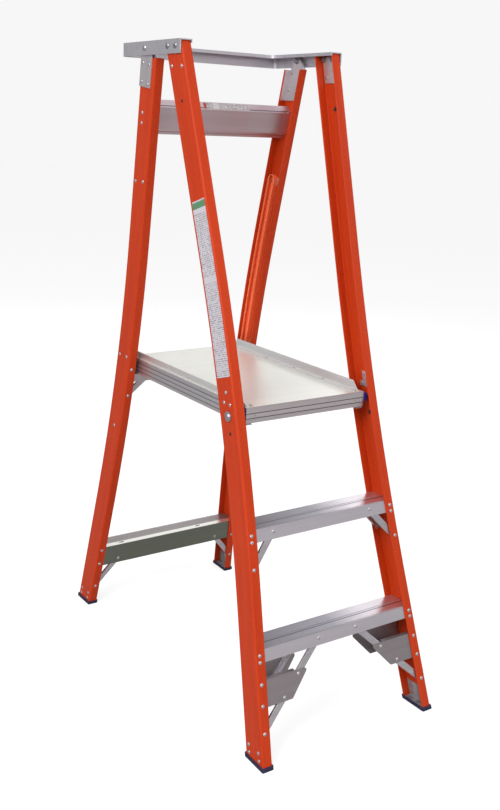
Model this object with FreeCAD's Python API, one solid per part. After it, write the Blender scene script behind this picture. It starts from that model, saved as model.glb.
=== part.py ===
"""Platform step ladder: four fibreglass stiles, two treads, a folding platform and a guard rail.

Millimetres. +Z is up, +X is to the right of a person climbing, and the climber faces +Y.
The origin is on the floor, midway between the front and rear feet.
"""
import FreeCAD, Part
import math
import os

V = FreeCAD.Vector

# ---- overall sizes -------------------------------------------------------------------------
FRONT_LEAN = 17.3          # degrees from vertical, leaning back
REAR_LEAN = 11.6           # degrees from vertical, leaning forward
GUARD_TOP = 1752.0         # height of the top guard rail
STILE_SETBACK = 127.9      # at that height, front face of front stiles to front face of rear stiles
DECK_TOP = 864.0           # height of the platform's standing surface
TREAD_TOPS = {"lower": 286.0, "upper": 572.0}

# ---- stiles --------------------------------------------------------------------------------
STILE_DEPTH = 76.2         # web width of the channel
FRONT_FLANGE = 28.6        # flange width, front stiles
REAR_FLANGE = 27.0         # flange width, rear stiles
STILE_WALL = 3.6
CORNER_RADIUS = 5.0        # outside corner between web and flange
FRONT_WAIST = 220.4        # half-width where the two straight stretches would cross
REAR_WAIST = 217.6
FRONT_BEND_AT = 857.0      # distance up the front stile to that crossing
REAR_BEND_AT = 836.0
BEND_TANGENT = 440.0       # from the crossing to either end of the bend
LOWER_FLARE = 4.3          # degrees outward, below the bend
UPPER_FLARE = 1.8          # degrees outward, above the bend

# ---- top guard rail ------------------------------------------------------------------------
GUARD_WALL = 3.0
GUARD_HEIGHT = 35.0
GUARD_TOP_WIDTH = 35.0
GUARD_LIP = 9.0
GUARD_LIP_WALL = 2.0
GUARD_REACH = 127.9        # outside of the crossbar, behind the hinge
GUARD_CORNER = 9.0
GUARD_NOSE = 5.0           # overhang ahead of the front stiles
GUARD_GAP = 0.4            # between the stile web and the rail's side
GUARD_BOLT_DROP = 16.0     # below the guard rail's top
GUARD_BOLT_DEPTHS = (24.0, 62.0)
BOLT_RADIUS = 4.8
BOLT_HEAD_RADIUS = 8.2
BOLT_HEAD_HEIGHT = 4.2

# ---- rear frame hinge ----------------------------------------------------------------------
HINGE_DROP = 17.0          # below the guard rail's top
HINGE_DEPTH = 50.0         # behind the front face of the rear stiles
HINGE_PIN_RADIUS = 4.8
HINGE_CLEARANCE = 0.05     # radial, pin in plate
HINGE_EYE_RADIUS = 12.5
HINGE_PLATE = 2.6
HINGE_PLATE_LENGTH = 101.0 # below the hinge
HINGE_PLATE_DEPTHS = (14.0, 75.0)
HINGE_LINER_LENGTH = 110.0
HINGE_RIVETS = ((35.0, 63.0), (41.0, 27.0), (82.0, 63.0), (90.0, 27.0))   # below the hinge, depth
HINGE_SPACER_RADIUS = 9.0
REAR_STILE_DROP = 42.0     # below the guard rail's top
FOLD_ANGLE = FRONT_LEAN + REAR_LEAN

# ---- platform ------------------------------------------------------------------------------
PIVOT_DROP = 23.0          # below the deck
PIVOT_DEPTH = 35.0         # behind the front face of the front stiles
PIVOT_RADIUS = 6.0
PIVOT_CLEARANCE = 0.06     # radial
PIVOT_HEAD_RADIUS = 10.0
PIVOT_HEAD_HEIGHT = 5.5
PIVOT_WASHER = 2.0
PIVOT_WASHER_RADIUS = 14.0
PIVOT_WASHER_GAP = 0.3
PLATFORM_LEAD = 22.6       # front edge ahead of the pivot
PLATFORM_REAR_INSET = 18.4 # rear edge ahead of the rear stiles' rear face
PLATFORM_HALF_WIDTH = 192.0
PLATFORM_FRAME_HEIGHT = 47.0
FRONT_RAIL_HEIGHT = 42.0
FRAME_RAIL_WIDTH = 20.0
FRAME_WALL = 2.2
DECK_SHEET = 2.0
BUSH_RADIUS = 18.0
JAM_NUT_RADIUS = 9.0
JAM_NUT_HEIGHT = 7.0
TOE_HEIGHT = 22.0
TOE_FOOT = 20.0
TOE_WALL = 2.0
TOE_INSET = 5.0            # foot of the toe wall, in from the platform's side
TOE_FRONT_GAP = 14.0       # from the platform's front edge
TOE_CHAMFER = 32.0
TOE_RIVETS_AT = (0.02, 0.235, 0.455, 0.675)   # share of the platform's depth
CORNER_RIVET_INSET = 8.0
CORNER_RIVET_DROP = 23.0   # below the deck, between the rails' grooves
FRONT_RAIL_GROOVES = (16.5, 29.5)      # below the deck
SIDE_RAIL_GROOVES = (11.0, 23.5, 36.0)
GUIDE_PIN_RADIUS = 6.0
GUIDE_PIN_LENGTH = 7.5
GUIDE_PIN_FROM_REAR = 10.0

# ---- treads and bars -----------------------------------------------------------------------
TREAD_FACE = 33.0
TREAD_WALL = 2.2
TREAD_END_GAP = 1.0
TREAD_RIVETS_DOWN = (12.0, 28.0)
TREAD_GROOVE_DEPTHS = (6.5, 39.0)      # behind the stiles' front face
GROOVE_WIDTH = 2.6
GROOVE_DEPTH = 0.9
RIVET_INSET = 13.0         # rivet line on a flange, in from the web's outside
UPPER_BRACE = {"tread_x": 160.0, "stile_z": 478.5}
LOWER_BRACE = {"tread_x": 62.0, "stile_z": 88.0}
BRACE_WIDTH = 17.0
BRACE_WALL = 2.2
BRACE_RIB = 7.0
GUSSET_TOP = 213.0
GUSSET_BOTTOM = 148.0
GUSSET_TOP_X = 106.0
GUSSET_BOTTOM_X = 166.0
GUSSET_REAR_REACH = 14.0   # the rear plate reaches this much further inward
GUSSET_TIP_RADIUS = 6.0
GUSSET_FOLD = 12.0         # flange along the front plate's top
GUSSET_FOLD_CLEAR = 42.0   # from the plate's tip to the flange, clear of the brace
GUSSET_RIVET_X = (139.0, 190.0)
REAR_BAR_TOP = 212.0
REAR_BAR_FACE = 71.0
REAR_BAR_REAR_FACE = 40.0
REAR_BAR_BRACE = {"bar_x": 187.0, "bar_z": 157.5, "stile_z": 68.0}
REAR_BAR_SLOTS = (-174.0, 118.0)
REAR_SLOT_DEPTH = 17.0
REAR_SLOT_LENGTH = 12.0
REAR_BAR_GROOVE_DEPTHS = (27.0, 34.0, 41.0, 48.0, 55.0, 62.0)
REST_BAR_FACE = 25.0
REST_BAR_TAB_DROP = 16.0   # below the deck
REST_BRACE = {"bar_x": 158.0, "drop": 115.0}   # drop is below the deck
SEAT_GAP = 0.3             # platform to the bar that it rests on
KNEE_DROP = 234.0          # its lower edge, below the guard rail's top
KNEE_HEIGHT = 91.0         # measured along the stile
KNEE_WALL = 2.2
KNEE_DEPTH = 38.0          # front face of the knee rail, behind the rear stiles' front
KNEE_FOLD = 16.0
KNEE_TAB = 22.0
STICKER_FROM_X = -55.0
STICKER_LENGTH = 149.0

# ---- small parts ---------------------------------------------------------------------------
RIVET_RADIUS = 2.5
RIVET_HEAD_RADIUS = 5.2
RIVET_HEAD_HEIGHT = 2.4
RIVET_TAIL_RADIUS = 4.0
RIVET_TAIL_HEIGHT = 1.6
RIVET_HOLE_GAP = 0.05
PLATE_WALL = 2.5
TOP_PLATE_DROP = 80.0
TOP_PLATE_DEPTHS = (9.0, 68.0)
TOP_RIVET_DROP = 65.0
TOP_RIVET_DEPTHS = (15.0, 61.0)
BRACKET_STEM = 16.0
BRACKET_BASE = 44.0
BRACKET_REACH = 67.0       # top of the bracket above the pivot
PLUG_RADIUS = 4.6
HIGH_PLUG = (148.0, 38.0)  # below the guard rail's top, depth
LOW_PLUG = (66.0, 35.0)    # below the deck, depth
TRACK_LOW_DROP = 26.0      # lower end, below the deck
TRACK_HIGH_DROP = 352.0    # upper end, below the guard rail's top
TRACK_WIDTH = 34.0
TRACK_PROUD = 14.0
TRACK_WALL = 2.4
TRACK_RIVET_INSETS = (10.0, 35.0)      # from the track's upper and lower ends
TRACK_CLIP_DEPTH = 17.5
TRACK_RIVET_DEPTH = 60.0
REAR_WEB_RIVET = (221.0, 36.0)         # below the deck, depth
LABEL_LIFT = 82.0          # lower edge, above the deck
LABEL_LENGTH = 430.0
LABEL_DEPTHS = (5.0, 66.0)
LABEL_THICKNESS = 0.4
FOOT_FLOOR = 5.0
FOOT_RIM = 11.0
FOOT_RIM_WALL = 3.0
FOOT_BRACKET_TOP = 52.0
FOOT_RIVET_HEIGHTS = (19.0, 38.0)
FOOT_RIVET_DEPTHS = (17.0, 60.0)
FIT_GAP = 0.3              # between parts that only sit near each other
BEND_SEAT = 0.1            # slack under a part that lies on the bent web


class Frame:
    """One leaning pair of stiles: x across, d into the stile, s up along it."""

    def __init__(self, floor_y, lean, waist, bend_at, flange):
        """Keep the frame's sizes and work out the stile's bend."""
        self.floor_y = floor_y
        self.lean = math.radians(lean)
        self.flange = flange
        low = math.radians(LOWER_FLARE)
        high = math.radians(UPPER_FLARE)
        self.radius = BEND_TANGENT / math.tan((low + high) / 2)
        self.bend_start = bend_at - BEND_TANGENT * math.cos(low)
        self.bend_end = bend_at + BEND_TANGENT * math.cos(high)
        self.low = low
        self.high = high
        start_x = waist + BEND_TANGENT * math.sin(low)
        self.centre_x = start_x + self.radius * math.cos(low)
        self.centre_s = self.bend_start + self.radius * math.sin(low)

    def normal(self, s):
        """Outward normal of the right-hand web at s, as (x, s)."""
        if s <= self.bend_start:
            angle = self.low
        elif s >= self.bend_end:
            angle = -self.high
        else:
            angle = math.asin((self.centre_s - s) / self.radius)
        return math.cos(angle), math.sin(angle)

    def half_width(self, s):
        """Outside of the web at s."""
        if s < self.bend_start:
            return self.half_width(self.bend_start) + (self.bend_start - s) * math.tan(self.low)
        if s > self.bend_end:
            return self.half_width(self.bend_end) + (s - self.bend_end) * math.tan(self.high)
        return self.centre_x - math.sqrt(self.radius ** 2 - (s - self.centre_s) ** 2)

    def s_at(self, z, d=0.0):
        """Distance up the stile of a point at height z and depth d."""
        return (z + d * math.sin(self.lean)) / math.cos(self.lean)

    def y_at(self, z, d=0.0):
        """World y of a point at height z and depth d."""
        return self.floor_y + z * math.tan(self.lean) + d / math.cos(self.lean)

    def width_at(self, z, d=0.0):
        """Half-width over the webs at a height and depth."""
        return self.half_width(self.s_at(z, d))

    def place(self, shape):
        """Turn a shape from (x, d, s) into the world."""
        moved = shape.copy()
        moved.rotate(V(0, 0, 0), V(1, 0, 0), -math.degrees(self.lean))
        moved.translate(V(0, self.floor_y, 0))
        return moved

    def edges(self, s0, s1, offset):
        """The web's line from s0 to s1, moved outward by offset, as edges and end points."""
        stops = [s for s in (self.bend_start, self.bend_end) if s0 < s < s1]
        marks = [s0] + stops + [s1]
        made = []
        for a, b in zip(marks, marks[1:]):
            start, middle, end = (self.point(s, offset) for s in (a, (a + b) / 2, b))
            curved = self.bend_start - 1e-6 <= a and b <= self.bend_end + 1e-6
            if curved:
                made.append(Part.Arc(start, middle, end).toShape())
            else:
                made.append(Part.makeLine(start, end))
        return made, self.point(s0, offset), self.point(s1, offset)

    def point(self, s, offset=0.0):
        """A point on the web's line at s, moved outward by offset."""
        nx, ns = self.normal(s)
        return V(self.half_width(s) + offset * nx, 0, s + offset * ns)

    def slab(self, s0, s1, depths, insets):
        """A solid that follows the web between two depths and two insets from its outside."""
        outer, outer_low, outer_high = self.edges(s0, s1, -insets[0])
        inner, inner_low, inner_high = self.edges(s0, s1, -insets[1])
        wire = Part.Wire(Part.__sortEdges__(
            outer + inner + [Part.makeLine(outer_low, inner_low), Part.makeLine(outer_high, inner_high)]))
        block = Part.Face(wire).extrude(V(0, depths[1] - depths[0], 0))
        block.translate(V(0, depths[0], 0))
        return block


REAR_DEPTH = STILE_DEPTH / math.cos(math.radians(REAR_LEAN))
SPREAD = STILE_SETBACK + REAR_DEPTH + GUARD_TOP * (
    math.tan(math.radians(FRONT_LEAN)) + math.tan(math.radians(REAR_LEAN)))
FRONT = Frame(-SPREAD / 2, FRONT_LEAN, FRONT_WAIST, FRONT_BEND_AT, FRONT_FLANGE)
REAR = Frame(SPREAD / 2 - REAR_DEPTH, -REAR_LEAN, REAR_WAIST, REAR_BEND_AT, REAR_FLANGE)

GUARD_BOLT_HEIGHT = GUARD_TOP - GUARD_BOLT_DROP
HINGE_HEIGHT = GUARD_TOP - HINGE_DROP
HINGE_Y = REAR.y_at(HINGE_HEIGHT, HINGE_DEPTH)
GUARD_REAR_Y = HINGE_Y + GUARD_REACH
GUARD_INSIDE = FRONT.width_at(GUARD_TOP) + GUARD_GAP
GUARD_UNDERSIDE = GUARD_TOP - GUARD_WALL
REAR_STILE_TOP = GUARD_TOP - REAR_STILE_DROP
PIVOT_HEIGHT = DECK_TOP - PIVOT_DROP
PIVOT_Y = FRONT.y_at(PIVOT_HEIGHT, PIVOT_DEPTH)
PLATFORM_FRONT_Y = PIVOT_Y - PLATFORM_LEAD
PLATFORM_REAR_Y = REAR.y_at(PIVOT_HEIGHT, STILE_DEPTH) - PLATFORM_REAR_INSET
PLATFORM_DEPTH = PLATFORM_REAR_Y - PLATFORM_FRONT_Y
RAIL_BOTTOM = DECK_TOP - PLATFORM_FRAME_HEIGHT
BUSH_LENGTH = FRONT.width_at(PIVOT_HEIGHT, PIVOT_DEPTH) - STILE_WALL - JAM_NUT_HEIGHT - PLATFORM_HALF_WIDTH
TRACK_LOW = DECK_TOP - TRACK_LOW_DROP
TRACK_HIGH = GUARD_TOP - TRACK_HIGH_DROP
INNER_DEPTH = STILE_DEPTH - STILE_WALL
INSIDE_CORNER = CORNER_RADIUS - STILE_WALL
LOWER_BRACE_FROM_Z = TREAD_TOPS["lower"] - TREAD_RIVETS_DOWN[0]

PIECES = []
HOLES = []


def mirrored(shape):
    """The same shape on the other side of the ladder."""
    return shape.mirror(V(0, 0, 0), V(1, 0, 0))


def both(shape):
    """A shape and its mirror image."""
    return [shape, mirrored(shape)]


def add(name, shape, holes=True):
    """Keep a piece; its holes are drilled when it is saved."""
    PIECES.append((name, shape, holes, False))


def add_pair(name, right, holes=True):
    """Keep a right-hand piece that is mirrored to the left when it is saved."""
    PIECES.append((name, right, holes, True))


def add_group(name, shapes, holes=False):
    """Keep several separate solids as one piece."""
    add(name, Part.Compound(shapes), holes)


def box(x0, x1, y0, y1, z0, z1):
    """A block between two corners."""
    return Part.makeBox(x1 - x0, y1 - y0, z1 - z0, V(x0, y0, z0))


def polygon(points):
    """A face from a closed run of points."""
    return Part.Face(Part.makePolygon(list(points) + [points[0]]))


def strip(points, wall):
    """A bent sheet's section: 2-D points along one side, and the wall to their left."""
    count = len(points)
    moved = []
    for i, (px, py) in enumerate(points):
        normals = []
        for a, b in ((i - 1, i), (i, i + 1)):
            if 0 <= a and b < count:
                dx = points[b][0] - points[a][0]
                dy = points[b][1] - points[a][1]
                length = math.hypot(dx, dy)
                normals.append((-dy / length, dx / length))
        nx = sum(n[0] for n in normals) / len(normals)
        ny = sum(n[1] for n in normals) / len(normals)
        scale = wall / (nx * nx + ny * ny)
        moved.append((px + nx * scale, py + ny * scale))
    return list(points) + moved[::-1]


def domed_head(radius, height):
    """A round-topped head that stands on the XY plane."""
    ball = (radius ** 2 + height ** 2) / (2 * height)
    start = math.degrees(math.asin((ball - height) / ball))
    return Part.makeSphere(ball, V(0, 0, height - ball), V(0, 0, 1), start, 90, 360)


def rivet_shape(grip):
    """A rivet that holds a stack of the given thickness, head at the top."""
    shank = Part.makeCylinder(RIVET_RADIUS, grip, V(0, 0, -grip))
    tail = Part.makeCylinder(RIVET_TAIL_RADIUS, RIVET_TAIL_HEIGHT, V(0, 0, -grip - RIVET_TAIL_HEIGHT))
    return domed_head(RIVET_HEAD_RADIUS, RIVET_HEAD_HEIGHT).fuse([shank, tail]).removeSplitter()


def aimed(shape, at, direction):
    """Turn a shape's +Z to a direction and move its origin to a point."""
    moved = shape.copy()
    moved.Placement = FreeCAD.Placement(at, FreeCAD.Rotation(V(0, 0, 1), direction))
    return moved


def drill_pair(at, direction, length, radius):
    """Remember a round hole, from a point on the outside and inwards, and its mirror image."""
    HOLES.extend(both(aimed(Part.makeCylinder(radius, length, V(0, 0, -length)), at, direction)))


def ring(radius, bore, length):
    """A plain collar that stands on the XY plane."""
    return Part.makeCylinder(radius, length).cut(Part.makeCylinder(bore, length))


def rivet(frame, at, direction, grip):
    """A rivet and its hole, given in a frame's own directions."""
    made = frame.place(aimed(rivet_shape(grip), at, direction))
    HOLES.append(frame.place(aimed(
        Part.makeCylinder(RIVET_RADIUS + RIVET_HOLE_GAP, grip, V(0, 0, -grip)), at, direction)))
    return made


def rivet_pair(frame, at, direction, grip):
    """A rivet and its mirror image on the other side, each with its hole."""
    hole_count = len(HOLES)
    made = rivet(frame, at, direction, grip)
    HOLES.append(mirrored(HOLES[hole_count]))
    return both(made)


def web_rivets(frame, z, depth, grip, outset=0.0):
    """A rivet through each web, square to it, with slack under its head and its tail."""
    s = frame.s_at(z, depth)
    nx, ns = frame.normal(s)
    at = frame.point(s, outset + BEND_SEAT)
    return rivet_pair(frame, V(at.x, depth, at.z), V(nx, 0, ns), grip + 2 * BEND_SEAT)


def brace_shape(start, end, front):
    """A ribbed brace between two points of a frame's XS plane; ribs point into the stile."""
    length = start.distanceToPoint(end)
    half = BRACE_WIDTH / 2
    clear = BRACE_WIDTH
    bar = box(0, length, 0, BRACE_WALL, -half, half)
    for x in (0, length):
        bar = bar.fuse(Part.makeCylinder(half, BRACE_WALL, V(x, 0, 0), V(0, 1, 0)))
    low, high = (0, BRACE_RIB) if front else (BRACE_WALL - BRACE_RIB, BRACE_WALL)
    for z in (-half, half - BRACE_WALL):
        bar = bar.fuse(box(clear, length - clear, low, high, z, z + BRACE_WALL))
    bar = bar.removeSplitter()
    bar.Placement = FreeCAD.Placement(start, FreeCAD.Rotation(V(1, 0, 0), end - start))
    return bar


def channel_face(frame, s):
    """The stile's rounded C section at s, square to the web."""
    nx, ns = frame.normal(s)
    start = frame.point(s)
    wall, outside, flange, last = STILE_WALL, CORNER_RADIUS, frame.flange, STILE_DEPTH
    inside = outside - wall
    tip = wall / 2

    def at(inset, depth):
        return V(start.x - inset * nx, depth, start.z - inset * ns)

    def bend(radius, depth, side):
        shift = radius * math.sqrt(0.5)
        return at(outside - shift, depth + side * shift)

    near, far = outside, last - outside
    edges = [
        Part.makeLine(at(flange - tip, 0), at(outside, 0)),
        Part.Arc(at(outside, 0), bend(outside, near, -1), at(0, near)).toShape(),
        Part.makeLine(at(0, near), at(0, far)),
        Part.Arc(at(0, far), bend(outside, far, 1), at(outside, last)).toShape(),
        Part.makeLine(at(outside, last), at(flange - tip, last)),
        Part.Arc(at(flange - tip, last), at(flange, last - tip), at(flange - tip, last - wall)).toShape(),
        Part.makeLine(at(flange - tip, last - wall), at(outside, last - wall)),
        Part.Arc(at(outside, last - wall), bend(inside, far, 1), at(wall, far)).toShape(),
        Part.makeLine(at(wall, far), at(wall, near)),
        Part.Arc(at(wall, near), bend(inside, near, -1), at(outside, wall)).toShape(),
        Part.makeLine(at(outside, wall), at(flange - tip, wall)),
        Part.Arc(at(flange - tip, wall), at(flange, tip), at(flange - tip, 0)).toShape(),
    ]
    return Part.Face(Part.Wire(edges))


def stile(frame, top):
    """One right-hand stile: two straight stretches joined by a long bend, cut level at both ends."""
    below = frame.bend_start + STILE_DEPTH
    above = frame.s_at(top) + STILE_DEPTH - frame.bend_end
    low_face = channel_face(frame, frame.bend_start)
    high_face = channel_face(frame, frame.bend_end)
    lower = low_face.extrude(V(math.sin(frame.low), 0, -math.cos(frame.low)) * below)
    upper = high_face.extrude(V(math.sin(frame.high), 0, math.cos(frame.high)) * above)
    turn = math.degrees(frame.low + frame.high)
    bend = low_face.revolve(V(frame.centre_x, 0, frame.centre_s), V(0, 1, 0), turn)
    whole = lower.fuse([bend, upper]).removeSplitter()
    reach = SPREAD
    return frame.place(whole).common(box(0, reach, -reach, reach, FOOT_FLOOR, top))


def build_stiles():
    """The four fibreglass stiles."""
    add_pair("front_stile", stile(FRONT, GUARD_UNDERSIDE))
    add_pair("rear_stile", stile(REAR, REAR_STILE_TOP))


def rounded_bay(half_width, front_y, rear_y, radius, z0, z1):
    """A block with round rear corners that is open to the front."""
    block = box(-half_width, half_width, front_y, rear_y, z0, z1)
    corners = [e for e in block.Edges
               if abs(e.Vertexes[0].X - e.Vertexes[1].X) < 1e-6
               and abs(e.Vertexes[0].Y - rear_y) < 1e-6 and abs(e.Vertexes[1].Y - rear_y) < 1e-6
               and abs(e.Vertexes[0].Z - e.Vertexes[1].Z) > 1e-6]
    return block.makeFillet(radius, corners)


def bay_wall(outside, front_y, rear_y, wall, z0, z1):
    """A U-shaped wall in plan, open to the front."""
    outer = rounded_bay(outside, front_y, rear_y, GUARD_CORNER, z0, z1)
    inner = rounded_bay(outside - wall, front_y - wall, rear_y - wall,
                        GUARD_CORNER - GUARD_LIP_WALL, z0 - wall, z1 + wall)
    return outer.cut(inner)


def build_guard_rail():
    """The top guard rail: side flange, top flange and rolled inner lip, bent into a U."""
    outside = GUARD_INSIDE + GUARD_WALL
    nose = FRONT.y_at(GUARD_TOP) - GUARD_NOSE
    side = bay_wall(outside, nose, GUARD_REAR_Y, GUARD_WALL, GUARD_TOP - GUARD_HEIGHT, GUARD_TOP)
    top = bay_wall(outside, nose, GUARD_REAR_Y, GUARD_TOP_WIDTH, GUARD_UNDERSIDE, GUARD_TOP)
    set_in = GUARD_TOP_WIDTH - GUARD_LIP_WALL
    lip = bay_wall(outside - set_in, nose, GUARD_REAR_Y - set_in, GUARD_LIP_WALL,
                   GUARD_TOP - GUARD_LIP, GUARD_TOP)
    add("guard_rail", side.fuse([top, lip]).removeSplitter())


def bolt_shape(length, radius, head_radius, head_height):
    """A round-headed bolt, head above the XY plane."""
    shank = Part.makeCylinder(radius, length, V(0, 0, -length))
    return domed_head(head_radius, head_height).fuse(shank).removeSplitter()


def hex_nut(radius, height, bore):
    """A six-sided nut that stands on the XY plane."""
    points = [V(radius * math.cos(math.radians(a)), radius * math.sin(math.radians(a)), 0)
              for a in range(0, 360, 60)]
    return polygon(points).extrude(V(0, 0, height)).cut(Part.makeCylinder(bore, height))


def build_guard_bolts():
    """Bolts that hold the guard rail to the front stiles, and their nuts."""
    outside = GUARD_INSIDE + GUARD_WALL
    bolts = []
    nuts = []
    nut_height = 5.0
    for depth in GUARD_BOLT_DEPTHS:
        y = FRONT.y_at(GUARD_BOLT_HEIGHT, depth)
        plate_face = FRONT.width_at(GUARD_BOLT_HEIGHT, depth) - STILE_WALL - PLATE_WALL - FIT_GAP
        length = outside - plate_face + nut_height
        at = V(outside, y, GUARD_BOLT_HEIGHT)
        bolt = bolt_shape(length, BOLT_RADIUS, BOLT_HEAD_RADIUS, BOLT_HEAD_HEIGHT)
        bolts += both(aimed(bolt, at, V(1, 0, 0)))
        nut = aimed(hex_nut(BOLT_HEAD_RADIUS, nut_height, BOLT_RADIUS), V(plate_face - nut_height, y,
                    GUARD_BOLT_HEIGHT), V(1, 0, 0))
        nuts += both(nut)
        drill_pair(at, V(1, 0, 0), length, BOLT_RADIUS)
    hinge_at = V(outside, HINGE_Y, HINGE_HEIGHT)
    plate_out = REAR.width_at(HINGE_HEIGHT, HINGE_DEPTH)
    plate_in = plate_out - STILE_WALL - PLATE_WALL - 2 * FIT_GAP
    length = outside - plate_in + nut_height
    pin = bolt_shape(length, HINGE_PIN_RADIUS, BOLT_HEAD_RADIUS, BOLT_HEAD_HEIGHT)
    nut = hex_nut(BOLT_HEAD_RADIUS, nut_height, HINGE_PIN_RADIUS)
    nuts += both(aimed(nut, V(plate_in - nut_height, HINGE_Y, HINGE_HEIGHT), V(1, 0, 0)))
    spacer_from = plate_out + HINGE_PLATE + 2 * FIT_GAP
    spacer = ring(HINGE_SPACER_RADIUS, HINGE_PIN_RADIUS, GUARD_INSIDE - spacer_from)
    drill_pair(hinge_at, V(1, 0, 0), length, HINGE_PIN_RADIUS + HINGE_CLEARANCE)
    add_group("guard_rail_bolts", bolts)
    add_group("hinge_pins", both(aimed(pin, hinge_at, V(1, 0, 0))))
    add_group("hinge_spacers", both(aimed(spacer, V(spacer_from, HINGE_Y, HINGE_HEIGHT), V(1, 0, 0))))
    add_group("guard_rail_nuts", nuts)


def outline(frame, points, x0, x1):
    """A prism along x from a closed run of (depth, height) points on a frame."""
    face = polygon([V(x0, d, frame.s_at(z, d)) for d, z in points])
    return face.extrude(V(x1 - x0, 0, 0))


def web_plate(frame, points, insets):
    """A plate on the right-hand web with a (depth, height) outline."""
    lows = [frame.s_at(z, d) for d, z in points]
    depths = [d for d, _ in points]
    sheet = frame.slab(min(lows) - 1, max(lows) + 1, (min(depths), max(depths)), insets)
    return sheet.common(outline(frame, points, 0, SPREAD))


def build_hinge_plates():
    """Outer hinge plates on the rear stiles, the liners inside them, and their rivets."""
    near, far = HINGE_PLATE_DEPTHS
    eye = HINGE_EYE_RADIUS
    pin_s = REAR.s_at(HINGE_HEIGHT, HINGE_DEPTH)
    shoulder = REAR_STILE_TOP + 2
    plate_low = HINGE_HEIGHT - HINGE_PLATE_LENGTH
    liner_low = HINGE_HEIGHT - HINGE_LINER_LENGTH
    crown = [(HINGE_DEPTH + eye * 0.72, HINGE_HEIGHT + eye * 0.6),
             (HINGE_DEPTH - eye * 0.72, HINGE_HEIGHT + eye * 0.6)]
    outer = [(near, plate_low), (far, plate_low + 8), (far, shoulder)] + crown + [(near, shoulder)]
    inner_near, inner_far = STILE_WALL + PLATE_WALL, INNER_DEPTH - INSIDE_CORNER
    inner = [(inner_near, liner_low), (inner_far, liner_low), (inner_far, shoulder)]
    inner += crown + [(inner_near, shoulder)]
    s0, s1 = pin_s - 2 * eye, pin_s + 2 * eye
    pair = []
    for points, insets in ((outer, (-HINGE_PLATE, 0)), (inner, (STILE_WALL, STILE_WALL + PLATE_WALL))):
        plate = web_plate(REAR, points, insets)
        disc = REAR.slab(s0, s1, (HINGE_DEPTH - 2 * eye, HINGE_DEPTH + 2 * eye), insets)
        disc = disc.common(Part.makeCylinder(eye, SPREAD, V(0, HINGE_DEPTH, pin_s), V(1, 0, 0)))
        pair.append(plate.fuse(disc).removeSplitter())
    s_low = REAR.s_at(liner_low, INNER_DEPTH)
    s_high = REAR.s_at(REAR_STILE_TOP, INNER_DEPTH)
    wing = REAR.slab(s_low, s_high, (INNER_DEPTH - PLATE_WALL, INNER_DEPTH),
                     (STILE_WALL + INSIDE_CORNER, REAR_FLANGE - 3))
    add_pair("hinge_plate", REAR.place(pair[0]))
    add_pair("hinge_liner", REAR.place(pair[1].fuse(wing).removeSplitter()))
    rivets = []
    for drop, depth in HINGE_RIVETS:
        grip = HINGE_PLATE + STILE_WALL + PLATE_WALL
        rivets += web_rivets(REAR, HINGE_HEIGHT - drop, depth, grip, HINGE_PLATE)
    add_group("hinge_rivets", rivets)


def build_top_plates():
    """Plates inside the tops of the front stiles, under the guard rail bolts."""
    near, far = TOP_PLATE_DEPTHS
    low, high = GUARD_TOP - TOP_PLATE_DROP, GUARD_TOP - GUARD_LIP
    points = [(near, low), (far, low), (far, high), (near, high)]
    add_pair("stile_top_plate", FRONT.place(web_plate(FRONT, points, (STILE_WALL, STILE_WALL + PLATE_WALL))))
    grip = STILE_WALL + PLATE_WALL
    made = []
    for depth in TOP_RIVET_DEPTHS:
        made += web_rivets(FRONT, GUARD_TOP - TOP_RIVET_DROP, depth, grip)
    return made


def crossbar(frame, points, wall, end_gap=TREAD_END_GAP):
    """A bent-sheet bar from web to web; (depth, height) points run along its outside."""
    section = strip([(d, frame.s_at(z, d)) for d, z in points], wall)
    reach = frame.half_width(section[0][1]) + STILE_WALL
    bar = polygon([V(-reach, d, s) for d, s in section]).extrude(V(2 * reach, 0, 0))
    heights = [s for _, s in section]
    beyond = frame.slab(min(heights) - STILE_DEPTH, max(heights) + STILE_DEPTH, (0, STILE_DEPTH),
                        (-STILE_DEPTH, STILE_WALL + end_gap))
    return bar.cut([beyond, mirrored(beyond)])


def legged_bar(frame, top, front_face, rear_face, wall):
    """A bar with a level top and a leg inside each flange."""
    front, rear = STILE_WALL, INNER_DEPTH
    front_low = top - front_face * math.cos(frame.lean)
    rear_low = top - rear_face * math.cos(frame.lean)
    points = [(rear, rear_low), (rear, top), (front, top), (front, front_low)]
    return crossbar(frame, points, wall)


def grooved(bar, frame, top, depths):
    """Cut grooves along the top of a placed bar, at the given depths behind the stiles' front."""
    cutters = []
    for depth in depths:
        y = frame.y_at(top, depth)
        cutters.append(box(-SPREAD, SPREAD, y - GROOVE_WIDTH / 2, y + GROOVE_WIDTH / 2,
                           top - GROOVE_DEPTH, top + GROOVE_DEPTH))
    return bar.cut(cutters)


def brace_pair(frame, tread_x, tread_z, stile_z, sides):
    """Right-hand braces from a bar's legs down to the flanges, with their two rivets each."""
    made = []
    rivets = []
    shoe = BRACE_WIDTH / 2
    for front in sides:
        face = STILE_WALL if front else INNER_DEPTH
        outward = -1 if front else 1
        leg = face - outward * TREAD_WALL
        level = 0 if front else STILE_DEPTH
        strap = leg if front else leg - BRACE_WALL
        stile_x = frame.width_at(stile_z, level) - RIVET_INSET
        start = V(tread_x, strap, frame.s_at(tread_z, level))
        end = V(stile_x, strap, frame.s_at(stile_z, level))
        pad = Part.makeCylinder(shoe, TREAD_WALL, V(end.x, face if front else leg, end.z), V(0, 1, 0))
        made.append(frame.place(brace_shape(start, end, front).fuse(pad).removeSplitter()))
        direction = V(0, outward, 0)
        rivets += rivet_pair(frame, V(start.x, face, start.z), direction, TREAD_WALL + BRACE_WALL)
        rivets += rivet_pair(frame, V(end.x, level, end.z), direction,
                             STILE_WALL + TREAD_WALL + BRACE_WALL)
    return made, rivets


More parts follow.
